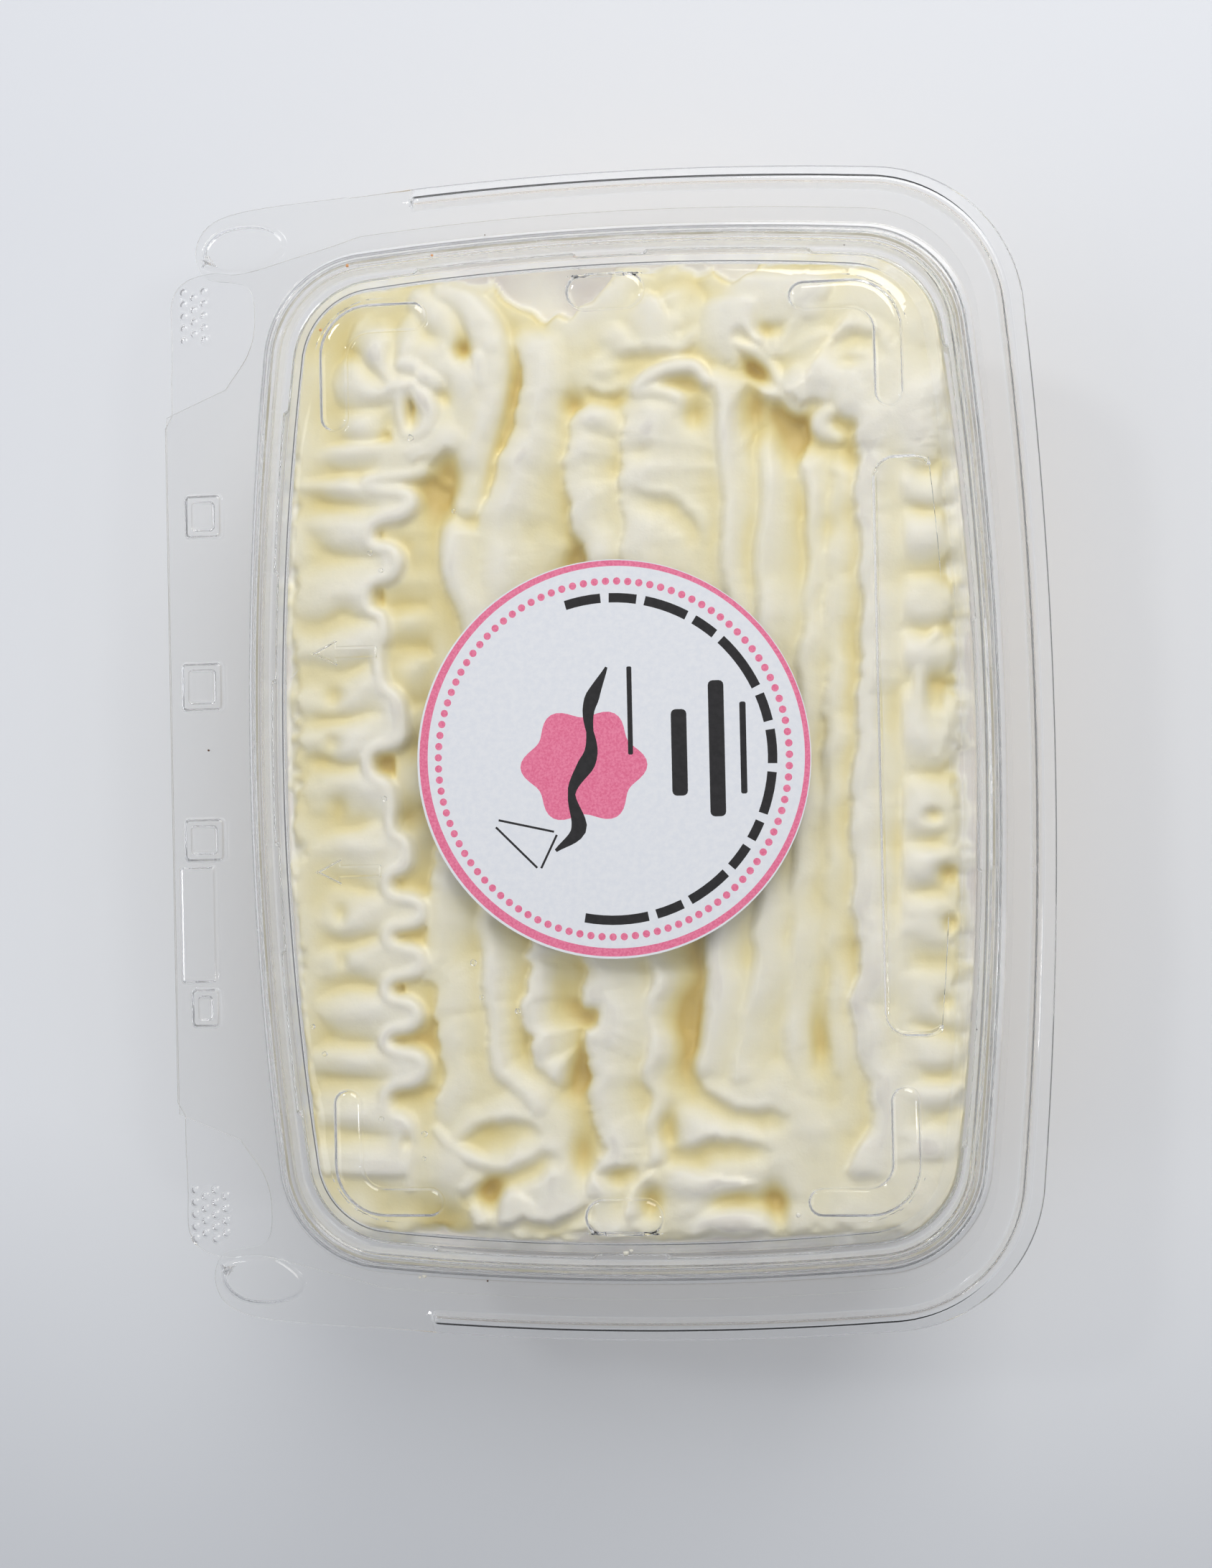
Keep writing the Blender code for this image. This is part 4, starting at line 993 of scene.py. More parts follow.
# Piped sheets. Each has a line of points along its crisp edge, its width from start to end,
# the heights of its edge, crown and far side, and the size, period and raggedness of the
# edge's waves. The sheet lies on the left of its line.
SHEETS = (
    ("bed_left", ((-33, 44), (-32, 30), (-31, 10), (-30, -8)),
     (9, 9), (41.2, 41.9, 41.9), (0.4, 15, 0.1)),
    ("upper_roll", ((-27.5, 43.5), (-28.5, 39.5), (-29, 35.5), (-28, 29.5), (-26.5, 24), (-24.5, 15.5),
      (-22.5, 6.5)),
     (8.6, 8.2), (42.6, 43.4, 42.6), (0.3, 12, 0.08)),
    ("right_sheet", ((-17.5, 71), (-16, 66.5), (-14.5, 61.5), (-15, 57), (-17, 51.5),
      (-19.5, 45), (-22, 38), (-22.5, 32), (-21.5, 23.5), (-21, 6.5), (-22.5, -11),
      (-23.5, -26), (-22.5, -41.5), (-22, -49), (-19.5, -53), (-15, -57.5), (-9.5, -62)),
     (10, 13, 14, 11, 9, 7.5, 7, 8), (42.9, 43.4, 41.6), (0.25, 11, 0.2)),
    ("big_ribbon", ((-27.5, -6.5), (-30, -14.5), (-31.5, -22.5), (-32.5, -28), (-33.5, -35),
      (-31, -37.5), (-31, -42), (-30, -48), (-31, -57), (-31.5, -60), (-28.5, -63)),
     (7, 10, 10.5, 10.5, 10), (42.9, 43.2, 42), (0.25, 7, 0.4)),
    ("ragged_ribbon", ((-1, 62), (-3.5, 57), (-6.5, 53), (-7.5, 47.5), (-8, 43), (-6.5, 37.5), (-4.5, 31),
      (-5, 22), (-7, 6), (-9.5, -11.5), (-14, -27.5), (-15.5, -35), (-16, -41.5), (-15, -47.5),
      (-12.5, -52), (-6.5, -55.5)),
     (9, 10, 10, 9, 7, 7), (43.2, 43.5, 42.2), (0.4, 8, 0.4)),
    ("wavy_strand", ((8, 5.5), (7.5, -6), (4.5, -23), (4, -33.5), (4, -39), (3, -45.5),
      (3.5, -57), (3, -64.5), (0.5, -70)),
     (6, 6, 6, 6), (43.1, 43.6, 42), (0.6, 9, 0.15)),
    ("strand_a", ((14.5, 65), (15.5, 57.5), (16.5, 51), (16.5, 43.5), (17, 26), (16.5, 5),
      (15, -17.5), (13, -34), (12.5, -42.5), (10, -49.5), (7, -55)),
     (7.4, 7.6, 7.6, 7.6), (42.6, 43.6, 42.2), (0.3, 15, 0.1)),
    ("strand_b", ((21.5, 64.5), (23, 53.5), (23.5, 43), (22, 32.5), (21.5, 16.5), (22, -0.5),
      (21, -17.5), (20, -31.5), (18, -42.5), (15.5, -49.5), (15, -58.5)),
     (8.6, 8.4, 8.4, 8.4, 8.8), (42.5, 43.5, 42.1), (0.3, 15, 0.1)),
    ("strand_c", ((27.8, 50.5), (28.5, 46), (30.5, 40), (30, 25.5), (28.5, 10.5), (28, -6.5),
      (26.5, -23.5), (25.5, -35), (25, -45), (26, -54), (26, -61)),
     (6.4, 6.4, 6.4, 7.6, 7.6), (42.5, 43.2, 42), (0.3, 12, 0.12)),
    ("strand_d", ((33.9, 50.5), (34.5, 47), (34.5, 35.5), (33.5, 25.5), (33, 4.5), (32, -12.5),
      (31.5, -27), (32.5, -37), (31.5, -43.5), (33, -52.5), (31.5, -58), (28, -64.5)),
     (7, 7.2, 7.2, 7.4, 8), (42.5, 42.9, 41.9), (0.3, 10, 0.2)),
    ("middle", ((0.5, 61), (2, 53), (1, 45.5), (1.5, 31), (1, 17), (-1.5, -6), (-4.5, -23), (-6, -33),
      (-6.5, -39), (-4, -42.5), (-6.5, -46), (-6, -55.5), (-5, -60.5), (-3.5, -64),
      (-6.5, -67.5), (-6, -72), (-5, -77)),
     (14, 16, 15, 12, 10.5, 9, 9, 9), (43.1, 43.6, 42.3), (0.3, 9, 0.4)),
    ("torn_left", ((-29, -64), (-27.5, -67), (-27.5, -70), (-26, -72.5), (-25.5, -75),
      (-24.5, -79)),
     (8, 8), (42.6, 43.2, 42.6), (0.2, 7, 0.5)),
    ("lobe_left", ((-17, -66.5), (-19.5, -68.5), (-20.5, -71), (-21, -73.5), (-21, -78)),
     (10, 14, 14), (43.4, 43.9, 43), (0.2, 7, 0.15)),
    ("curl_left", ((7, -64), (5.5, -65.5), (3.5, -67), (2, -68.5), (0.5, -70), (-0.5, -73),
      (-1, -78)),
     (5, 6, 6), (43.4, 43.2, 42), (0.2, 6, 0.1)),
    ("cross_2_left", ((8, -61), (6.5, -63), (5.5, -65.5), (5, -68), (5.5, -70), (6.5, -72),
      (7.5, -74.5), (10, -79)),
     (14, 20, 20), (43.2, 43.6, 43.6), (0.2, 6, 0.4)),
    ("petal_edge", ((15, 62), (12.5, 65.5), (9.5, 70), (6.5, 73.5), (2.5, 75.5)),
     (9, 11, 11, 8), (43.2, 43.4, 42.4), (0.3, 9, 0.1)),
    ("back_petal", ((17.5, 64), (16, 69), (14.5, 74), (13, 78)),
     (5, 6, 5), (42.3, 42.8, 42.4), (0.3, 7, 0.2)),
    ("peak_petal", ((28, 64), (25.5, 66.5), (24, 70), (23.5, 75)),
     (7, 9, 7), (43.3, 43.8, 42.8), (0.3, 8, 0.1)),
    ("corner", ((36, 66), (35.5, 70), (36, 77)),
     (9, 14, 14), (42.6, 43.2, 42.6), (0.3, 7, 0.2)),
    ("ribbon_top", ((25.5, 62.5), (27.5, 58.5), (28, 56.5), (30.5, 54.8), (32.8, 55.2),
      (35, 54.6), (37.5, 52.5), (39.5, 47), (39, 41)),
     (9, 11, 11, 8), (43.9, 44.4, 43.8), (0.45, 4.2, 0.5)),
    ("main_ribbon", ((37.5, 52.5), (39.5, 47.5), (39, 41), (39.5, 32), (39.5, 21.5),
      (38.5, 4.5), (37, -10), (37.5, -27), (38, -34.5), (36.5, -41), (37.5, -49.5), (39, -55),
      (39.5, -59), (37.5, -62), (35.5, -66), (33, -71)),
     (8.6, 7.6, 7.2, 7.2, 7.6, 8.6), (43.7, 44, 42.6), (0.3, 11, 0.18)),
    ("rim", ((-36, 46.2), (-33, 47.2), (-31.5, 48.6), (-28.5, 49.8), (-25.5, 49.9), (-22, 49.2)),
     (7, 7, 6), (43.6, 43.6, 43), (0.2, 5, 0.15)),
)

# Pleated ruffles. Each has the side it spreads to, the line of its inner lip, where its
# pleats meet in creases along Y, where it starts and ends across X, and the heights of the
# lip, of the pleats' crests, of the creases and of the outer edge.
LEFT_LIP = (
    (-31, 46.5), (-40.5, 45), (-33, 42), (-40.5, 36.5), (-35.6, 32), (-41, 26.5), (-38, 21), (-39.2, 17),
    (-35.5, 4.5), (-41.4, 0), (-37.4, -7), (-37.7, -10), (-34.8, -15.5), (-38.6, -20.5), (-32.6, -24.8),
    (-38.6, -28.7), (-32.8, -32.8), (-39, -37), (-33.8, -41.5), (-39.4, -45.5), (-33, -49.6), (-39.6, -55),
    (-35, -60.5), (-35.6, -69),
)
RUFFLES = (
    ("left_ruffle", -1, LEFT_LIP,
     (54, 47, 41.5, 33, 23, 15.5, 7, 0, -10.5, -21, -29.5, -37, -45, -52.5, -61, -70),
     (-37.5, -52.5), (43.5, 43.5, 42.1, 41.6)),
    ("valley", 1, ((-38, 46), (-38, 20), (-37, 0), (-36, -20), (-36, -60)),
     (52, 42, 33, 25, 18, 9.5, 3, -9, -20, -31, -44, -56),
     (-38, -27.5), (0, 42.2, 41.2, 41.7)),
    ("right_ruffle", 1, ((46, 66), (46, 49.5), (46.2, 27), (45.5, 4.5), (45, -18), (43.5, -40.5), (43.5, -54),
      (41.5, -63), (40, -74)),
     (61, 54, 46, 37.5, 27, 18, 9, -3.5, -16, -24, -34, -44.5, -52, -59, -68),
     (44.6, 54.8), (0, 43.5, 41.9, 41.8)),
)

# Fans of petals along the +Y end. Each has its middle, where the petals start and end from
# there, the directions of its creases in degrees with their twist, and the same four heights.
FANS = (
    ((-33.0, 58.5), (2.0, 15.0), (44, 80, 112, 146, 192, 236), -1.1, (43.4, 43.5, 42.3, 41.4)),
    ((6.5, 62.0), (1.5, 12.5), (14, 48, 84, 122, 160, 200), 0.9, (43.0, 43.2, 42.2, 41.6)),
    ((27.0, 62.0), (1.5, 11.5), (8, 46, 82, 120, 168), -0.8, (43.0, 43.3, 42.2, 41.8)),
)

# Broad mounds: middle, half lengths along X and Y, and height
MOUNDS = (
    ((-1, 66), (9, 12), 42.3),
    ((10, 60), (9, 10), 41.8),
    ((24, 65), (10, 10), 42),
    ((40, 62), (13, 12), 42.6),
    ((-27, 60), (9, 13), 42.3),
    ((-20, -63), (12, 9), 43.2),
    ((-14, -71), (9, 7), 43.3),
    ((0, -70), (8, 9), 42.8),
    ((20, -60), (14, 9), 43.4),
    ((20, -70), (14, 8), 43.3),
    ((38, -66), (12, 12), 43),
    ((-38, -62), (7, 8), 42.6),
)

# Folds pressed into the cream. Each has the line of its upper edge, the widths of its steep
# face and of the whole fold, and its depth. The fold lies on the right of its line.
FOLDS = (
    ("foot_1", ((-29.5, -63), (-28, -61.5), (-26, -60), (-23.5, -58.7), (-20.5, -58),
      (-16.5, -58.2), (-13, -60.5)),
     1.8, 8.5, 1.3),
    ("foot_2", ((-28.5, -70), (-24.5, -68), (-20.5, -66), (-17, -64.8), (-13, -63), (-9.5, -64)),
     2.2, 5, 1.5),
    ("lobe_low", ((-21.5, -76), (-19, -74.5), (-17, -73.3), (-15.5, -74.3), (-13, -74.4),
      (-10.5, -73.5), (-6, -71.5)),
     1.2, 6, 1.7),
    ("middle_low", ((-5.5, -66.6), (-2, -65.5), (2, -65.5)),
     1.6, 4.5, 1.4),
    ("cross_1", ((11.5, -49), (13, -53), (16, -55.3), (20, -56.6), (23, -56.5), (27, -58)),
     1.6, 6.5, 1.2),
    ("cross_2", ((6, -63.4), (8.5, -62.4), (11, -61.9), (14, -61), (17, -61), (20, -61.6),
      (24, -63)),
     1.8, 6.5, 1.4),
    ("grey_fold", ((-2.5, 63), (-0.5, 64), (3, 64.6), (8, 64.6), (14, 63)),
     1.8, 5.5, 0.9),
    ("s_inner", ((6.8, 58.2), (9, 59.6), (12, 60.2), (15.5, 58.5)),
     1.4, 3.8, 0.5),
    ("right_face", ((32.5, 62.5), (35, 65), (39, 66.5), (43, 65.5), (45, 61.5)),
     2, 5.5, 1.0),
    ("olive_face", ((21.5, 68), (24, 65), (25.8, 61.5), (27.5, 57.5)),
     1.8, 5, 1.9),
    ("small_face", ((-4, 59.5), (-1, 58), (2.5, 58.5)),
     1, 3, 0.9),
    ("dark_hollow", ((22.5, 59.0), (25.0, 57.0), (27.4, 55.8), (29.5, 53.6), (32.8, 53.4), (35.5, 51.5)),
     1.8, 12.5, 2.6),
    ("leaf", ((3.0, 43.0), (5.8, 41.9), (10.4, 40.5), (14.0, 36.4), (14.4, 32.7)),
     1.6, 6.5, 0.8),
)

# Round rolls: middle line, half widths and top heights from start to end
ROLLS = (
    ("heart", ((-31, 65.5), (-28, 64), (-25, 62), (-23.5, 58.5), (-24.5, 53)),
     (2.6, 3.8, 3.6), (43.5, 43.8, 43.2)),
    ("heart_low", ((-30, 51.5), (-26.5, 52), (-23.5, 50)),
     (2.4, 3, 2.4), (43.5, 43.7, 43.2)),
    ("long_ridge", ((-27, 75.5), (-23, 72.5), (-20.3, 67.5), (-19.6, 63.5), (-20.2, 59),
      (-21.5, 54), (-23, 48), (-24, 41)),
     (2.4, 3.4, 3.4, 3.4, 3), (42.8, 43.5, 43.7, 43.4, 43)),
    ("top_lobe", ((-31, 74), (-28, 71), (-26, 67.8)),
     (2.6, 3, 2), (42.6, 43.3, 43.2)),
    ("small_ridge", ((-21.5, 64.5), (-21, 60.5)),
     (1.1, 1.1), (44, 43.9)),
    ("tongue_left", ((-34.4, 59.2), (-34.6, 57), (-34.4, 54.5), (-33.6, 52.6), (-32.2, 52.2)),
     (0.9, 1, 1), (44, 43.8, 43.7, 43.8)),
    ("tongue_right", ((-32.6, 60), (-30.8, 58.4), (-29.6, 56), (-30.4, 53.6), (-32, 52.2)),
     (1.3, 1.8, 1.2), (44.1, 44.1, 43.9, 43.8)),
    ("tongue_top", ((-37.5, 59.6), (-35, 60.4), (-32.4, 60.4)),
     (0.8, 1, 0.9), (43.6, 44.2, 44.2)),
    ("lump_a", ((-34, 63.8), (-32, 63.4)),
     (1.3, 1.4), (43.9, 44)),
    ("lump_b", ((-30.6, 61.8), (-28.6, 60.6)),
     (1.4, 1.5), (44.1, 43.9)),
    ("cavity_curl", ((-29.2, 48), (-28.9, 45.6), (-27.4, 44.4), (-26, 45.2)),
     (0.7, 0.8, 0.7), (42.6, 42.4, 42.2)),
    ("s_fold", ((15.6, 59), (13.4, 61.3), (9.5, 61.3), (6, 59.8), (4.4, 57.8), (7.5, 57.6),
      (10.6, 56.6), (11.4, 55), (9, 53.4), (6.5, 52)),
     (1, 1.2, 1.3, 1.1, 1), (43.6, 43.9, 43.6, 43.6, 43)),
    ("olive_lip", ((20.5, 64.6), (23.5, 63), (26, 60.6), (27.3, 57.6)),
     (0.7, 0.9, 0.8), (43.4, 43.3, 43)),
    ("small_curl", ((35, 53.4), (33.6, 51.8), (34.2, 50.2), (36.2, 49.2)),
     (1.3, 1.7, 1.3), (43.3, 43.1, 42.7)),
    ("fold_curl", ((51, 17.5), (49, 15), (48.2, 11), (48.2, 5.5), (48.7, 2), (50.5, -1.5)),
     (0.7, 0.9, 0.9, 0.7), (42.6, 43.3, 43.3, 42.8)),
    ("curl_lobe", ((11, -75.5), (14, -74.2), (18.5, -74.2), (22.5, -75.5)),
     (2.4, 3, 2.2), (43, 43.7, 43.2)),
    ("fold_edge", ((-31, -60), (-29, -62.3), (-26, -64.3), (-22.5, -65.8), (-19.5, -66)),
     (0.8, 1.2, 1), (43, 43.7, 43.2)),
)

# Hollows: middle, half lengths along X and Y, and depth
HOLLOWS = (
    ((-28, 44.6), (3.6, 2.6), 2),
    ((-29.6, 39), (2.2, 3.2), 0.9),
    ((-24.5, 66.2), (0.8, 1.7), 1.7),
    ((-33.1, 56.4), (0.45, 2), 1.5),
    ((-37, 55.2), (1.8, 1.6), 0.8),
    ((13.4, 54), (1.7, 2), 1.9),
    ((5, 48), (1.5, 1.2), 0.9),
    ((13, 73.5), (2, 2.4), 1.2),
    ((25.4, 66.6), (1.4, 0.8), 1.8),
    ((-6.4, 56.4), (1.6, 1.6), 1.2),
    ((38.6, 61), (1.8, 0.7), 1.2),
    ((23.5, 61), (2.4, 1.6), 0.8),
    ((-6, 31), (1.6, 2.4), 1.3),
    ((-10, -39), (2, 4), 1.5),
    ((-8, -52.5), (1.6, 3), 1.3),
    ((10, -45), (1.6, 7), 1.3),
    ((6.5, -60), (1.5, 4), 1.8),
    ((31, -45.5), (0.9, 4), 1.4),
    ((17.5, -71.6), (5.6, 1.3), 2.2),
    ((23.4, -71.2), (1.5, 2.6), 2.4),
    ((24.5, -75), (1.4, 3), 1.6),
    ((-22.8, -70.6), (1.7, 2.6), 2.2),
    ((-30, -75), (3.5, 4), 1.8),
    ((3.5, -71.5), (1.6, 2.6), 2),
    ((-7.5, -64.5), (1.5, 2.6), 1.5),
    ((-36, -62), (0.6, 0.9), 1.5),
    ((30.5, 36), (0.7, 4.5), 0.8),
    ((50.6, 6.5), (1.4, 5), 0.9),
    ((49.8, -11), (1.1, 0.8), 1.9),
    ((51.8, -20), (1.3, 1.1), 2.2),
    ((52.2, -28), (1, 1.1), 2),
    ((51.2, -40.5), (1.2, 1.4), 1.8),
    ((-46.8, 10.5), (1.3, 1.2), 1.2),
    ((-47.2, 3), (1.3, 1.1), 1.2),
    ((-46.6, -7.5), (1.3, 1.6), 1),
    ((-46.4, -25), (0.9, 1.2), 1.2),
    ((-46.4, -32.5), (0.9, 1.2), 1.2),
)

# Patches at the +Y end that the cream leaves bare: middle and half width along X, and how
# far they reach from the end
BARE_PATCHES = ((-9.5, 10.5, 9.5), (20.0, 4.6, 5.0))


def soft_noise(a, b, seed):
    """Smooth noise from -1 to 1 over two coordinates, the same every time."""
    lattice = np.random.default_rng(seed).uniform(-1, 1, (64, 64))
    i, j = np.floor(a).astype(int), np.floor(b).astype(int)
    s, t = eased(a - i), eased(b - j)
    i, j, k, m = i % 64, j % 64, (i + 1) % 64, (j + 1) % 64
    low = lattice[i, j] * (1 - s) + lattice[k, j] * s
    high = lattice[i, m] * (1 - s) + lattice[k, m] * s
    return low * (1 - t) + high * t


def layered(a, b, *layers):
    """Soft noises added up, each given as its height, its size along both coordinates and its seed."""
    return sum(height * soft_noise(a / along, b / across, seed) for height, along, across, seed in layers)


def graded(values, share):
    """The value at each share of the way through evenly spaced values."""
    return np.interp(share, np.linspace(0, 1, len(values)), values)


def highest(first, second, blend=0.2):
    """The higher of two heights, with a small fillet where they meet."""
    near = np.maximum(blend - np.abs(first - second), 0) / blend
    return np.maximum(first, second) + near * near * blend / 4


class Relief:
    """The cream's upper surface, as heights over a grid."""

    def __init__(self, half_x, half_y):
        x = np.arange(-half_x - 1, half_x + 1 + CREAM_CELL, CREAM_CELL)
        y = np.arange(-half_y - 1, half_y + 1 + CREAM_CELL, CREAM_CELL)
        self.x, self.y = np.meshgrid(x, y, indexing="ij")
        self.half_y = half_y
        to_wall = np.minimum(half_x - np.abs(self.x), half_y - np.abs(self.y))
        ragged = layered(self.x, self.y, *CREAM_RAGS)
        self.pale = 1 - eased((to_wall - CREAM_BARE_EDGE - ragged) / CREAM_MARGIN[0])
        self.height = CREAM_LAYER + layered(self.x, self.y, *CREAM_SWELLS)

    def near(self, points, reach):
        """The grid's places within reach of a line, with their distances along and across it."""
        points = np.array([tuple(point) for point in points])
        low, high = points.min(axis=0) - reach, points.max(axis=0) + reach
        close = (self.x > low[0]) & (self.x < high[0]) & (self.y > low[1]) & (self.y < high[1])
        at = np.nonzero(close)
        places = np.stack([self.x[at], self.y[at]], axis=1)
        along = np.gradient(points, axis=0)
        along /= np.linalg.norm(along, axis=1)[:, None]
        steps = np.linalg.norm(np.diff(points, axis=0), axis=1)
        travelled = np.concatenate([[0], np.cumsum(steps)])
        nearest = np.empty(len(places), dtype=int)
        for start in range(0, len(places), CHUNK):
            part = places[start:start + CHUNK]
            apart = (part[:, :1] - points[None, :, 0]) ** 2 + (part[:, 1:] - points[None, :, 1]) ** 2
            nearest[start:start + CHUNK] = apart.argmin(axis=1)
        away = places - points[nearest]
        tangent = along[nearest]
        s = travelled[nearest] + (away * tangent).sum(axis=1)
        u = away[:, 1] * tangent[:, 0] - away[:, 0] * tangent[:, 1]
        return at, s, u, np.linalg.norm(away, axis=1), travelled[-1]


def lay_mound(relief, middle, half, top):
    """Lays a broad low mound."""
    x, y = (relief.x - middle[0]) / half[0], (relief.y - middle[1]) / half[1]
    ratio = (np.abs(x) ** MOUND_POWER + np.abs(y) ** MOUND_POWER) ** (1 / MOUND_POWER)
    lumps = layered(relief.x, relief.y, *MOUND_LUMPS)
    surface = top + lumps - MOUND_DROP * np.clip(ratio - MOUND_FLAT, 0, 3) ** 1.5
    relief.height = highest(relief.height, surface, 0.8)


def lay_sheet(relief, seed, line, widths, heights, waves):
    """Lays one piped sheet: a crisp lip, a crown, and a long slope to its far side."""
    edge, crown, far = heights
    size, period, ragged = waves
    at, s, u, _distance, total = relief.near(spline(line, step=SHEET_STEP), max(widths) + 3)
    turns = 2 * np.pi * s / period
    phase = turns + SHEET_SWAY * np.sin(turns / SHEET_SWAY_PERIODS + seed)
    tear = layered(s, s * 0 + seed, *SHEET_RAGS)
    u = u + size * np.sin(phase) + SHEET_TEARS * ragged * tear
    ends = np.clip(np.minimum(s, total - s) / min(SHEET_END, total / 3.5), 0, 1)
    swell = 0.6 + 0.4 * np.sqrt(1 - (1 - ends) ** 2)
    width = graded(widths, np.clip(s / total, 0, 1))
    over = u - width / 2 * (1 - swell)
    share = over / np.maximum(width * swell, 0.3)
    shape = np.interp(share, SHEET_SHARES, (
        edge - 0.15, edge + 0.1, edge + 0.6 * (crown - edge), crown, (crown + far) / 2, far, far - 1.8))
    fade = np.exp(-SHEET_PLEAT_FADE * np.clip(share, 0, 2))
    pleat = SHEET_PLEATS * size * np.cos(phase + SHEET_PLEAT_TURN * share) * fade
    lumps = 0.45 * soft_noise(s / 12 + seed, u / 5, 21) + 0.08 * soft_noise(s / 4.5, u / 2.2 + seed, 22)
    streaks = 0.03 * soft_noise(s / 9, u / 0.9 + seed, 23)
    surface = shape + pleat + lumps + streaks
    surface -= (1 - ends) ** 1.4 * (crown - CREAM_LAYER + 1.4)
    surface -= np.maximum(-over, 0) * LIP_FALL
    surface[(s < 0) | (s > total)] = 0
    ground = relief.height[at]
    shadow = np.clip((surface - ground) / 0.8 + 1.2, 0, 1) * (ends > 0.3)
    deep, wide = SHEET_GROOVE
    groove = deep * np.exp(-((over + wide) / wide) ** 2) * shadow
    relief.height[at] = highest(ground - groove, surface)


def pleated(place, creases, outward, seed, heights):
    """Heights of pleats that meet in creases, from their inner edge (0) to their outer one (1)."""
    lip, crest, valley, outer = heights
    inner = lip or crest
    creases = np.array(sorted(creases), dtype=float)
    number = np.clip(np.searchsorted(creases, place) - 1, 0, len(creases) - 2)
    part = np.clip((place - creases[number]) / (creases[number + 1] - creases[number]), 0, 1)
    chance = np.random.default_rng(seed).uniform(-1, 1, (3, len(creases)))
    lobe = np.sin(np.pi * part ** (1 + 0.3 * chance[0][number]))
    high = inner + (crest + 0.2 * chance[2][number] - inner) * np.clip(outward * 3, 0, 1)
    end = outer + 0.25 * chance[1][number]
    ridge = high + (end - high) * eased((outward - 0.25) / 0.85)
    depth = (crest - valley) * np.interp(outward, PLEAT_PLACES, PLEAT_DEPTHS)
    return ridge - (1 - lobe) * depth, lobe, chance[1][number]


def ended(place, creases, before, steepness):
    """How far the pleats have dropped where they run out, past their first and last creases."""
    past = np.maximum(min(creases) + before - place, 0) + np.maximum(place - max(creases) + before, 0)
    return steepness * past


def snaked(turns):
    """A smooth line that swings round from each turn to the next, across more than along."""
    points = []
    for (x0, y0), (x1, y1) in zip(turns, turns[1:]):
        steps = max(6, round(math.hypot(x1 - x0, y1 - y0) / RUFFLE_STEP))
        for step in range(steps):
            share = step / steps
            swing = eased(share)
            climb = share + SNAKE_CLIMB * math.sin(2 * math.pi * share)
            points.append(Vector((x0 + (x1 - x0) * swing, y0 + (y1 - y0) * climb)))
    return spline([*points[::3], Vector(turns[-1])], step=RUFFLE_STEP)


def lay_ruffle(relief, seed, side, line, creases, across, heights):
    """Lays one ruffle: rounded pleats out to a scalloped edge, and a lip that snakes."""
    lip = heights[0]
    points = snaked(line) if lip else spline(line, step=RUFFLE_STEP)
    start, stop = across
    at, _s, u, _distance, _total = relief.near(points, abs(stop - start) + 6)
    x, y = relief.x[at], relief.y[at]
    outward = (x - start) / (stop - start)
    sway, length = RUFFLE_SWAY
    slant = y + sway * np.sin(y / length + seed) * outward + layered(x, y, RUFFLE_WANDER)
    surface, lobe, chance = pleated(slant, creases, np.clip(outward, 0, 1), 60 + seed, heights)
    ragged = layered(y, x * 0 + seed, *RUFFLE_RAGS)
    limit = abs(stop - start) * (0.93 + 0.07 * chance) + 1.6 * (lobe - 0.6) + ragged
    over = limit - side * (x - start)
    surface += layered(y, x, *RUFFLE_LUMPS)
    surface -= np.maximum(-over, 0) * RUFFLE_FALL + np.maximum(-side * u, 0) * LIP_FALL
    surface -= ended(y, creases, *RUFFLE_END)
    relief.height[at] = highest(relief.height[at], surface, 0.3)
    if lip:
        lay_ridge(relief, points, RUFFLE_ROLL, [lip + rise for rise in RUFFLE_RISES], 0.5)


def lay_fan(relief, seed, middle, reach, creases, twist, heights):
    """Lays a fan of petals round its middle."""
    x, y = relief.x - middle[0], relief.y - middle[1]
    distance = np.hypot(x, y)
    angle = np.degrees(np.arctan2(y, x)) % 360 - twist * (distance - 6)
    angle = angle + layered(relief.x, relief.y, (FAN_WANDER, 4, 4, 46 + seed))
    outward = np.clip((distance - reach[0]) / (reach[1] - reach[0]), 0, 1)
    surface, lobe, chance = pleated(angle, creases, outward ** 1.6, 71 + seed, heights)
    over = reach[1] * (0.95 + 0.1 * chance) + 1.8 * (lobe - 0.6) - distance
    over += 0.6 * soft_noise(angle / 9, distance * 0, 47 + seed)
    surface += layered(relief.x, relief.y, FAN_LUMPS)
    surface -= np.maximum(-over, 0) * FAN_FALL
    surface -= ended(angle, creases, *FAN_END)
    relief.height = highest(relief.height, surface, 0.3)


def lay_ridge(relief, points, half_widths, tops, blend=0.3):
    """Lays a round roll along the points."""
    at, s, _u, distance, total = relief.near(points, max(half_widths) + 1.5)
    share = np.clip(s / total, 0, 1)
    half = ROLL_SWELL * graded(half_widths, share)
    ratio = distance / half
    surface = graded(tops, share) - half * ROLL_ROUND * (1 - np.sqrt(np.clip(1 - ratio ** 2, 0, 1)))
    surface -= np.maximum(ratio - 1, 0) * half * ROLL_FALL
    surface += layered(relief.x[at], relief.y[at], ROLL_LUMPS)
    relief.height[at] = highest(relief.height[at], surface, blend)


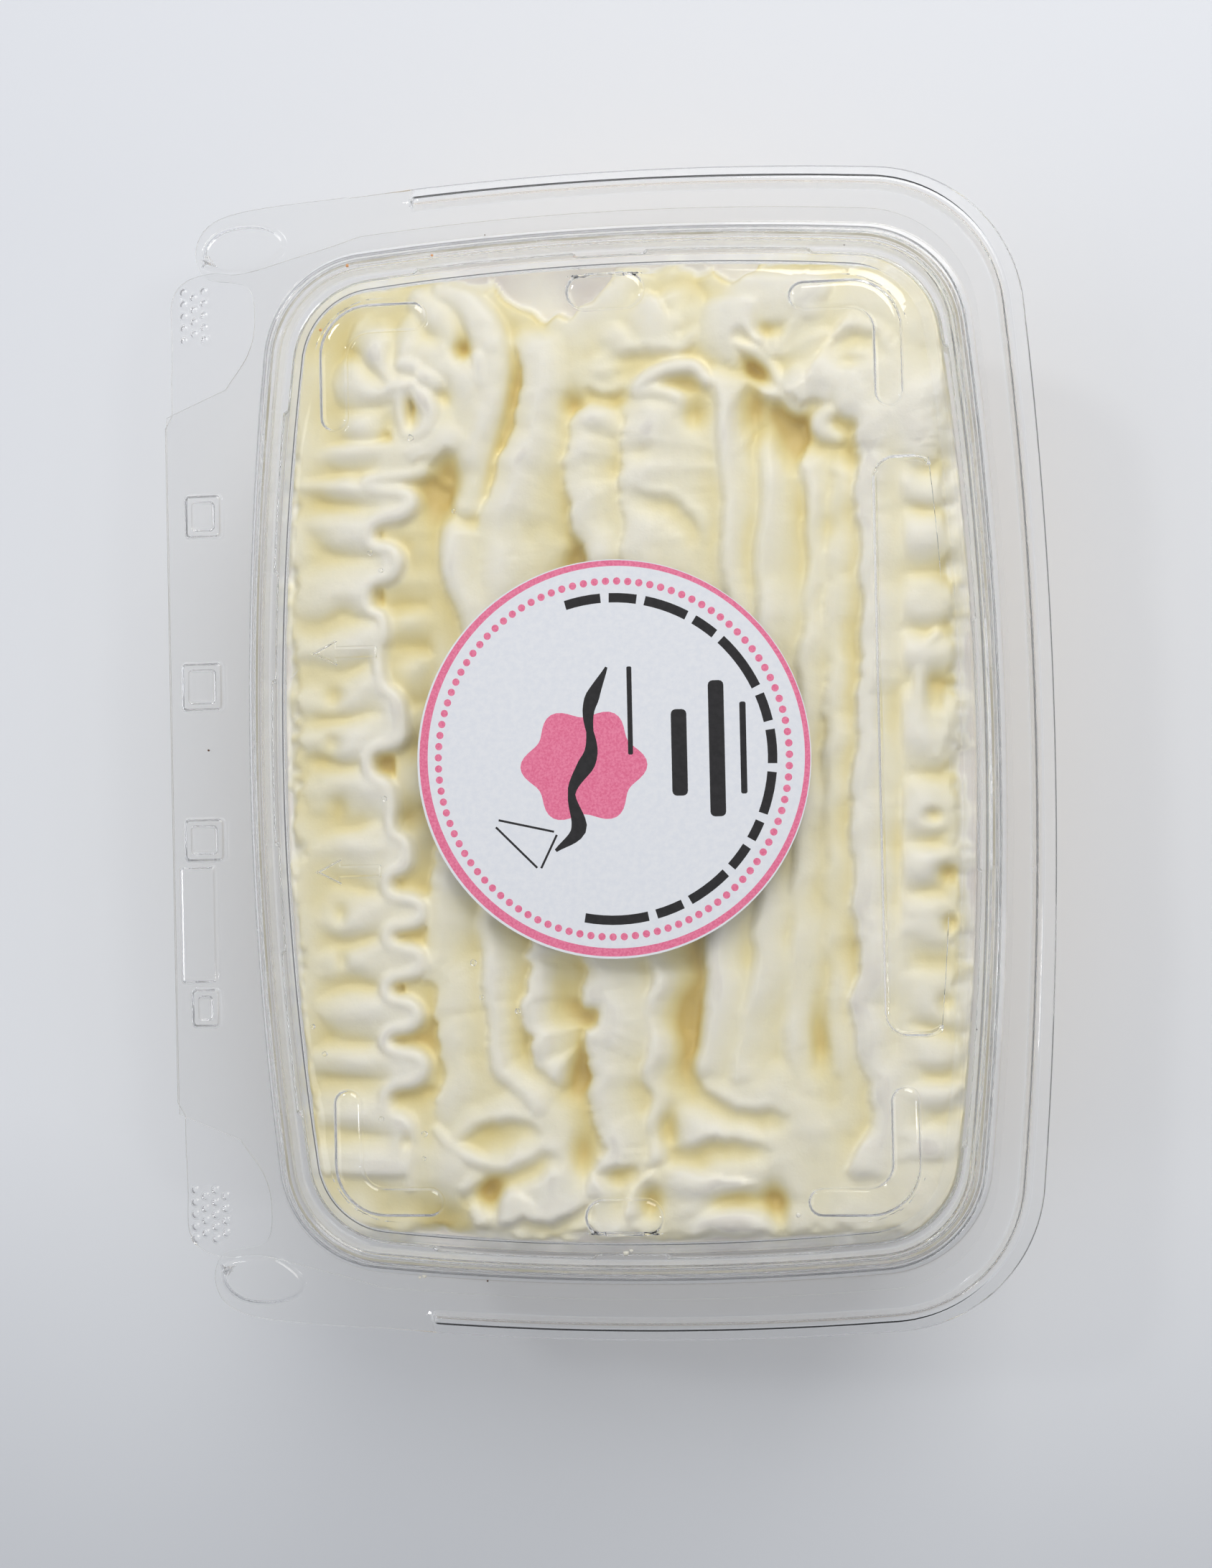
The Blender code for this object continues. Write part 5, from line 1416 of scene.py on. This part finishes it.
def press_fold(relief, line, steep, whole, depth):
    """Presses a fold to the right of a line: a shaded face under an edge, then a slow rise."""
    at, s, u, _distance, total = relief.near(spline(line, step=LINE_STEP), whole + 1)
    ends = np.sin(np.pi * np.clip(s / total, 0, 1)) ** 0.6
    across = layered(s, s * 0, *FOLD_RAGS) - u
    face = eased(across / (steep * (0.5 + 0.5 * ends)))
    rise = 1 - eased((across - steep) / np.maximum((whole - steep) * (0.35 + 0.65 * ends), 0.1))
    high, wide = FOLD_LIP
    lip = high * ends * np.exp(-((across + 0.5) / wide) ** 2)
    relief.height[at] += lip - depth * ends * face * rise


def press_hollow(relief, middle, half, depth):
    """Presses a soft hollow into the cream."""
    ratio = ((relief.x - middle[0]) / half[0]) ** 2 + ((relief.y - middle[1]) / half[1]) ** 2
    relief.height -= 0.8 * depth * np.exp(-ratio * 0.6)


def bare_patch(relief, middle, half, depth):
    """Takes the cream away from a patch at the +Y end."""
    bow = np.sqrt(np.clip(1 - ((relief.x - middle) / half) ** 2, 0, 1))
    edge = relief.half_y - depth * bow + 1.1 * soft_noise(relief.x / 2.2, relief.y / 5, 49)
    share = eased((relief.y - edge) / 1.6) * (np.abs(relief.x - middle) < half)
    relief.height -= share * (relief.height - CREAM_LOW - 1.0)
    relief.pale = np.maximum(relief.pale, share)


def blurred(heights, reach):
    """The heights averaged over a square of cells, twice over."""
    for axis in (0, 1):
        for _ in range(2):
            parts = [np.roll(heights, shift, axis) for shift in range(-reach, reach + 1)]
            heights = sum(parts) / len(parts)
    return heights


def cream_relief(half_x, half_y):
    """All the cream's forms, laid one after another."""
    relief = Relief(half_x, half_y)
    for mound in MOUNDS:
        lay_mound(relief, *mound)
    for seed, fan in enumerate(FANS):
        lay_fan(relief, seed, *fan)
    for seed, (_name, *ruffle) in enumerate(RUFFLES):
        lay_ruffle(relief, seed, *ruffle)
    for seed, (_name, *sheet) in enumerate(SHEETS):
        lay_sheet(relief, seed, *sheet)
    for _name, *fold in FOLDS:
        press_fold(relief, *fold)
    for _name, line, half_widths, tops in ROLLS:
        lay_ridge(relief, spline(line, step=LINE_STEP), half_widths, tops)
    for hollow in HOLLOWS:
        press_hollow(relief, *hollow)
    for patch in BARE_PATCHES:
        bare_patch(relief, *patch)
    soft = (1 - CREST_SOFTENING) * relief.height + CREST_SOFTENING * blurred(relief.height, 1)
    soft += FORM_CONTRAST * (soft - blurred(soft, 7)) - CREAM_MARGIN[1] * relief.pale
    fine = layered(relief.x, relief.y, FINE_GRAIN)
    over = np.maximum(soft - (CREAM_TOP - FLAT_TOP), 0)
    soft = np.minimum(soft, CREAM_TOP - FLAT_TOP) + FLAT_TOP * (1 - np.exp(-over / FLAT_TOP))
    relief.height = np.clip(soft + fine, CREAM_LOW - 1.6, CREAM_TOP)
    return relief


def snapped(places, ring):
    """Each place moved to the nearest point of a closed ring."""
    starts = np.array(ring)
    spans = np.roll(starts, -1, axis=0) - starts
    lengths = np.maximum((spans ** 2).sum(axis=1), 1e-12)
    moved = np.empty_like(places)
    for index, place in enumerate(places):
        share = np.clip(((place - starts) * spans).sum(axis=1) / lengths, 0, 1)
        options = starts + spans * share[:, None]
        moved[index] = options[((options - place) ** 2).sum(axis=1).argmin()]
    return moved


def painted_cream_shade(relief):
    """How far down in a gap each place of the cream lies, for the painted shade in its colour."""
    near = blurred(relief.height, 1)
    around = blurred(relief.height, 6) * 0.5 + blurred(relief.height, 14) * 0.5
    depth = PAINTED_SHADE_MIDDLE + (around - near) / PAINTED_SHADE_PER_HOLLOW + PAINTED_SHADE_PER_MM * (PAINTED_SHADE_LEVEL - near)
    depth = np.clip(depth, *PAINTED_SHADE_RANGE)
    return depth + (PAINTED_SHADE_ON_WHEY - depth) * relief.pale


def make_cream(material):
    """The whipped cream: its relief, cut to the tray's wall and closed below."""
    ring = [(x / MM, y / MM) for x, y in outline(CREAM_INSET, CREAM_INSET + CREAM_END_EXTRA)]
    relief = cream_relief(max(x for x, _ in ring), max(y for _, y in ring))
    places = np.stack([relief.x.ravel(), relief.y.ravel()], axis=1)
    within = inside(places, ring)
    number = np.arange(len(places)).reshape(relief.x.shape)
    corners = (number[:-1, :-1], number[1:, :-1], number[1:, 1:], number[:-1, 1:])
    cells = np.stack(corners, axis=2).reshape(-1, 4)
    cells = cells[within[cells].any(axis=1)]
    outer = np.unique(cells[~within[cells]])
    places[outer] = snapped(places[outer], ring)
    used, faces = np.unique(cells, return_inverse=True)
    verts = np.column_stack([places[used], relief.height.ravel()[used]]) * MM
    mesh = bpy.data.meshes.new("piped_cream")
    mesh.from_pydata(verts.tolist(), [], faces.reshape(cells.shape).tolist())
    # The painted shade of gaps and low places is stored as the depth attribute.
    attribute = mesh.attributes.new("depth", "FLOAT", "POINT")
    attribute.data.foreach_set("value", painted_cream_shade(relief).ravel()[used].astype(np.float32))
    bm = bmesh.new()
    bm.from_mesh(mesh)
    bmesh.ops.remove_doubles(bm, verts=[vert for vert in bm.verts if vert.is_boundary], dist=0.02 * MM)
    rim = [edge for edge in bm.edges if edge.is_boundary]
    for edge in rim:
        edge.smooth = False
    foot, lean = CREAM_FOOT
    for z, share in ((foot, 1.0), (CREAM_BOTTOM, 1 - lean / relief.half_y)):
        made = bmesh.ops.extrude_edge_only(bm, edges=rim)["geom"]
        for vert in (item for item in made if isinstance(item, bmesh.types.BMVert)):
            vert.co = (vert.co.x * share, vert.co.y * share, z * MM)
        rim = [item for item in made if isinstance(item, bmesh.types.BMEdge)]
    bmesh.ops.contextual_create(bm, geom=rim)
    bmesh.ops.recalc_face_normals(bm, faces=bm.faces)
    bm.to_mesh(mesh)
    bm.free()
    mesh.shade_smooth()
    return add_piece("piped_cream", mesh, [material], "base", ("whipped_cream",))


# Sponge, in mm: how far its top runs in from the wall, and the rings of its rounded foot
SPONGE_TOP_INSETS = (1.0, 3.0, 6.0, 10.0)
SPONGE_FOOT = ((24.5, 26.3, -41.35), (21.9, 23.7, -41.2))
SPONGE_CLEARANCE = 0.1
SPONGE_WALL_STEPS = 12
SPONGE_DIP = 0.6


def make_sponge(material):
    """The soaked sponge, which fills the tray up to the cream and just meets its wall."""
    wall = offset_profile(TRAY_PROFILE, -SPONGE_CLEARANCE)
    low, high = Vector(wall[11]), Vector(wall[10])
    rows = [*SPONGE_FOOT, wall[12], wall[11]]
    rows += [tuple(low.lerp(high, step / SPONGE_WALL_STEPS)) for step in range(1, SPONGE_WALL_STEPS + 1)]
    side, end, z = rows[-1]
    rows += [(side + inset, end + inset, z) for inset in SPONGE_TOP_INSETS]
    rings = [ring_at(*row) for row in rows]
    for ring in rings[-len(SPONGE_TOP_INSETS):]:
        for place in ring:
            lumps = noise.noise(place * 90) * 0.9 + noise.noise(place * 400) * 0.3
            place.z += lumps * MM - SPONGE_DIP * MM
    bm = bmesh.new()
    add_strip(bm, rings, True)
    fill(bm, rings[0])
    fill(bm, rings[-1])
    mesh = mesh_of("soaked_sponge", bm, WELD)
    shade(mesh, SPONGE_SHARP_ANGLE)
    return add_piece("soaked_sponge", mesh, [material], "base", ("sponge_cake",))


# The label's print, in mm from its middle. Its inks are white paper, pink and black.
PAPER, PINK, BLACK = range(3)
LABEL_STEPS = 120
RING_OUT = (0.1, 0.1, 31.45)
RING_IN = (0.35, 0.3, 30.35)
BLOSSOM_CENTRE = (-4.6, -1.0)
BLOSSOM_REACH = (8.6, 0.9)
BLOSSOM_STRETCH = 1.08
BLOSSOM_LOBES = 6
WAVE = ((-9.4, -14.4), (-5.6, -11.0), (-6.6, -5.0), (-3.4, 1.0), (-3.6, 8.0), (-0.6, 14.6))
WAVE_WIDTHS = (0.5, 2.6, 1.2, 2.8, 1.2, 2.4, 0.4)
TRIANGLE = ((-19.5, -10.0), (-12.0, -17.5), (-9.0, -11.5), (-19.2, -9.2))
TRIANGLE_LINE = 0.35
BARS = (                      # middle, width, bottom and top
    (10.8, 2.5, -6.1, 7.6),
    (16.8, 2.5, -9.5, 12.0),
    (21.0, 1.0, -6.0, 8.5),
    (3.0, 0.8, 0.6, 14.6),
)
DASHES = (                    # from and to, in degrees
    (-101, -78), (-75, -65), (-62, -46), (-43, -34), (-31, -24), (-21, -6), (-3, 9), (12, 22),
    (25, 46), (49, 58), (61, 77), (80, 90), (93, 106),
)
DASH_RADIUS = 25.6
DASH_WIDTH = 1.5
DOTS = 99
DOT_CIRCLE = 28.25
DOT_RADIUS = 0.6


def stroke(points, widths):
    """The outline of a band along the points, as wide as the widths say from start to end."""
    left = []
    right = []
    count = len(points)
    for index, point in enumerate(points):
        along = (points[min(index + 1, count - 1)] - points[max(index - 1, 0)]).normalized()
        across = Vector((-along.y, along.x)) * graded(widths, index / (count - 1)) / 2
        left.append(point + across)
        right.append(point - across)
    return [tuple(place) for place in left + right[::-1]]


def turned(radius, degrees):
    """The point at this distance and direction from the label's middle."""
    angle = math.radians(degrees)
    return Vector((math.cos(angle), math.sin(angle))) * radius


def label_shapes():
    """The printed shapes on the label, as (ink, outline)."""
    blossom = []
    for step in range(72):
        reach = BLOSSOM_REACH[0] + BLOSSOM_REACH[1] * math.cos(2 * math.pi * BLOSSOM_LOBES * step / 72)
        point = turned(reach, 5 * step)
        blossom.append((BLOSSOM_CENTRE[0] + point.x * BLOSSOM_STRETCH, BLOSSOM_CENTRE[1] + point.y))
    shapes = [(PINK, blossom), (BLACK, stroke(spline(WAVE, count=40), WAVE_WIDTHS))]
    for a, b in zip(TRIANGLE, TRIANGLE[1:]):
        line = [Vector(a).lerp(Vector(b), share) for share in (0.06, 0.94)]
        shapes.append((BLACK, stroke(line, (TRIANGLE_LINE, TRIANGLE_LINE))))
    for x, width, low, high in BARS:
        shapes.append((BLACK, rounded_box(x - width / 2, x + width / 2, low, high, width * 0.3, 0, 3)))
    for start, end in DASHES:
        steps = max(3, int((end - start) / 3))
        line = [turned(DASH_RADIUS, start + (end - start) * step / steps) for step in range(steps + 1)]
        shapes.append((BLACK, stroke(line, (DASH_WIDTH, DASH_WIDTH))))
    for index in range(DOTS):
        shapes.append((PINK, circle(*turned(DOT_CIRCLE, 360 * index / DOTS), DOT_RADIUS, 12)))
    return shapes


def make_label(materials):
    """The round paper label, its print laid out as fields of colour and simple shapes."""
    def placed(points, z):
        return [Vector(((x + LABEL_CENTRE.x) * MM, (y + LABEL_CENTRE.y) * MM, z)) for x, y in points]

    low, high = LABEL_Z
    rim = circle(0, 0, LABEL_RADIUS, LABEL_STEPS)
    shapes = label_shapes()
    outlines = [circle(*RING_OUT, LABEL_STEPS), circle(*RING_IN, LABEL_STEPS)]
    outlines += [outline_points for _ink, outline_points in shapes]
    loops = [placed(points, high) for points in outlines]
    bm = bmesh.new()
    made = fill(bm, placed(rim, high), loops)
    middles = [middle for _face, middle in made]
    ink = np.where(inside(middles, loops[0]) & ~inside(middles, loops[1]), PINK, PAPER)
    for (colour, _points), loop in zip(shapes, loops[2:]):
        ink[inside(middles, loop)] = colour
    for (face, _middle), colour in zip(made, ink):
        face.material_index = int(colour)
    add_strip(bm, [placed(rim, high), placed(rim, low)], True)
    fill(bm, placed(rim, low))
    mesh = mesh_of("paper_label", bm, FINE_WELD)
    return add_piece("paper_label", mesh, materials, "lid_body", ("label",))


# Small things: places and sizes in mm
ORANGE_CRUMBS = ((-42.6, 80.3, 0.5), (-46.8, 69.7, 0.45), (-28.5, 81.2, 0.4))
CREAM_CRUMBS = (
    (-0.5, -79.7, 0.95), (0.4, -79.2, 0.6), (-33.8, -83.6, 0.7), (-34.6, -83.9, 0.45), (27.6, -73.2, 0.7),
)
DARK_SPECKS = (
    (-23.4, -84.4, 0.3), (55.9, -44.7, 0.25), (-68.4, 2.3, 0.35), (-20.3, 84.6, 0.2), (38.0, 79.5, 0.2),
)
DROPS = (
    (-23.7, -33.0, 0.8), (-22.5, -38.5, 0.6), (-16.7, -40.8, 0.7), (-32.3, -60.3, 0.8), (-32.5, -64.2, 0.6),
    (-39.4, -57.8, 0.7), (-48.5, -47.3, 0.7), (-50.4, -42.9, 0.6), (-32.3, 51.6, 0.8), (-25.4, 39.5, 0.6),
    (-39.3, 33.3, 0.7), (-37.6, 30.4, 0.6), (-37.8, -6.4, 0.7),
)
CRUMB_FLATNESS = 0.5
DROP_FLATNESS = 0.45
FILM_INSETS = (9.4, 9.75)
FILM_Z = 1.58
FILM_THICKNESS = 0.08


def lump(bm, place, size, flat, seed):
    """An uneven little lump."""
    for vert in bmesh.ops.create_icosphere(bm, subdivisions=3, radius=size / 2 * MM)["verts"]:
        unit = vert.co.normalized()
        broad = noise.noise(unit * 1.7 + Vector((seed, 0, 0)))
        vert.co *= 1 + 0.35 * broad + 0.12 * noise.noise(unit * 5 + Vector((0, seed, 0)))
        vert.co.z *= flat
        vert.co += place


def add_small(name, bm, material):
    """Adds small things, which ride the lid."""
    mesh = mesh_of(name, bm)
    mesh.shade_smooth()
    add_piece(name, mesh, [material], "lid_body")


def make_crumbs(name, spots, material, surface):
    """Crumbs or specks that lie on a surface, each a little sunk into its own place."""
    bm = bmesh.new()
    for seed, (x, y, size) in enumerate(spots):
        found = surface.ray_cast(Vector((x * MM, y * MM, 1.0)), Vector((0, 0, -1)))[0]
        lift = Vector((0, 0, size * 0.4 * CRUMB_FLATNESS * MM))
        lump(bm, found + lift, size, CRUMB_FLATNESS, seed)
    add_small(name, bm, material)


def make_drops(material):
    """Drops of water that hang under the panel."""
    bm = bmesh.new()
    for seed, (x, y, size) in enumerate(DROPS):
        place = Vector((x * MM, y * MM, PANEL_Z - WALL - size * 0.16 * MM))
        lump(bm, place, size * 1.2, DROP_FLATNESS, seed + 0.5)
    add_small("drops", bm, material)


def make_seal_band(material):
    """A thin olive film between the tray's seal ridge and the lid's."""
    inner, outer = FILM_INSETS
    top = FILM_Z + FILM_THICKNESS
    section = ((inner, FILM_Z), (outer, FILM_Z), (outer, top), (inner, top), (inner, FILM_Z))
    bm = bmesh.new()
    add_strip(bm, [ring_at(inset, inset + CREAM_END_EXTRA, z) for inset, z in section], True)
    add_piece("seal_band_film", mesh_of("seal_band_film", bm, FINE_WELD), [material], "base")


# Lights: name, place, size, power and colour
LIGHTS = (
    ("key", (0.20, 0.50, 0.52), 0.46, 2.7, (1.0, 0.985, 0.96)),
    ("fill_light", (-0.8, -0.05, 0.7), 0.6, 1.2, (0.97, 0.98, 1.0)),
    ("glint_left", (-0.34, 0.28, 0.55), 0.07, 0.4, (1.0, 1.0, 1.0)),
    ("glint_right", (0.55, -0.10, 0.60), 0.07, 0.4, (1.0, 1.0, 1.0)),
)
LIGHT_TARGET = Vector((0.0, 0.0, 0.03))
WORLD_STRENGTH = 0.555
FLOOR_HALF = 4.0
FLOOR_Z = -0.3 * MM


def add_camera():
    """The camera, which looks down as the photograph does."""
    camera = linked("camera", bpy.data.cameras.new("camera"))
    camera.data.sensor_fit = "VERTICAL"
    camera.data.sensor_height = SENSOR_HEIGHT
    camera.data.lens = LENS
    camera.data.clip_start = 0.01
    pitch, yaw, roll = (math.radians(turn) for turn in CAMERA_TURNS)
    turns = Matrix.Rotation(pitch, 4, "X") @ Matrix.Rotation(yaw, 4, "Y") @ Matrix.Rotation(roll, 4, "Z")
    camera.matrix_world = Matrix.Translation(CAMERA_PLACE) @ turns
    bpy.context.scene.camera = camera


def add_light(name, place, size, power, colour):
    """A square studio light that faces the pack."""
    light = linked(name, bpy.data.lights.new(name, "AREA"))
    light.data.size = size
    light.data.energy = power
    light.data.color = colour
    light.location = place
    light.rotation_euler = (LIGHT_TARGET - Vector(place)).to_track_quat("-Z", "Y").to_euler()


def add_world():
    """A pale studio: bright overhead, darker toward the horizon and toward -Y."""
    world = bpy.data.worlds.new("studio")
    bpy.context.scene.world = world
    world.use_nodes = True
    nodes = Nodes(world.node_tree)
    colour = nodes.ramp(nodes.axis("Generated", "Z"), (
        (0.0, (0.75, 0.76, 0.80, 1)), (0.35, (0.68, 0.69, 0.73, 1)),
        (0.65, (0.80, 0.82, 0.87, 1)), (1.0, (0.95, 0.97, 1.0, 1))))
    side = nodes.ramp(nodes.scaled(nodes.axis("Generated", "Y"), 0.5, 0.5), (
        (0.0, (0.74, 0.74, 0.75, 1)), (0.5, (0.94, 0.94, 0.94, 1)), (1.0, (1, 1, 1, 1))))
    toned = nodes.multiplied(1.0, colour, side)
    back = nodes.add("ShaderNodeBackground", {"Color": toned, "Strength": WORLD_STRENGTH})
    nodes.add("ShaderNodeOutputWorld", {"Surface": back.outputs[0]})


def add_floor():
    """A pale floor with painted shade: a little darker in a band toward -Y, and pale again further out."""
    bm = bmesh.new()
    bmesh.ops.create_grid(bm, x_segments=8, y_segments=8, size=FLOOR_HALF)
    floor = linked("floor", mesh_of("floor", bm))
    floor.location.z = FLOOR_Z
    material, nodes = new_material("pale_floor")
    # The floor's colour ramp is painted shade, darker in a band toward -Y.
    place = nodes.scaled(nodes.noise(3.0, 2.0), 0.15, nodes.axis("Object", "Y"))
    colour = nodes.ramp(nodes.maths("ADD", place, 0.525), (
        (0.04, (0.74, 0.76, 0.79, 1)), (0.26, (0.49, 0.51, 0.54, 1)), (0.42, (0.53, 0.55, 0.58, 1)),
        (0.54, (0.82, 0.84, 0.875, 1)), (0.7, (0.77, 0.79, 0.83, 1))))
    nodes.finish(nodes.add("ShaderNodeBsdfPrincipled", {"Base Color": colour, "Roughness": 0.55}))
    floor.data.materials.append(material)


add_camera()
add_world()
add_floor()
for light in LIGHTS:
    add_light(*light)
bpy.context.scene.view_settings.view_transform = "Standard"

make_tray(plastic_material("tray_clear", (0.99, 0.99, 0.985, 1)))
lid_mesh = make_lid(plastic_material("lid_clear", (0.99, 0.99, 0.99, 1))).data
make_cream(cream_material())
make_sponge(sponge_material())
make_label([
    print_material("label_white", linear(232, 234, 238), linear(226, 229, 235), 900.0, 0.42),
    print_material("label_pink", linear(240, 134, 166), linear(226, 104, 142), 2600.0, 0.4),
    print_material("label_black", linear(34, 32, 34), linear(22, 20, 22), 900.0, 0.35),
])

lid_faces = [face.vertices for face in lid_mesh.polygons]
lid_top = BVHTree.FromPolygons([vert.co for vert in lid_mesh.vertices], lid_faces)
for name, spots, material_name, low, high in (
        ("orange_crumbs", ORANGE_CRUMBS, "orange_crumb", (214, 150, 96), (232, 178, 128)),
        ("cream_crumbs", CREAM_CRUMBS, "cream_crumb", (226, 222, 208), (242, 238, 226)),
        ("dark_specks", DARK_SPECKS, "dark_speck", (60, 40, 32), (96, 64, 48))):
    make_crumbs(name, spots, crumb_material(material_name, linear(*low), linear(*high)), lid_top)
make_drops(drop_material())
make_seal_band(seal_band_material())
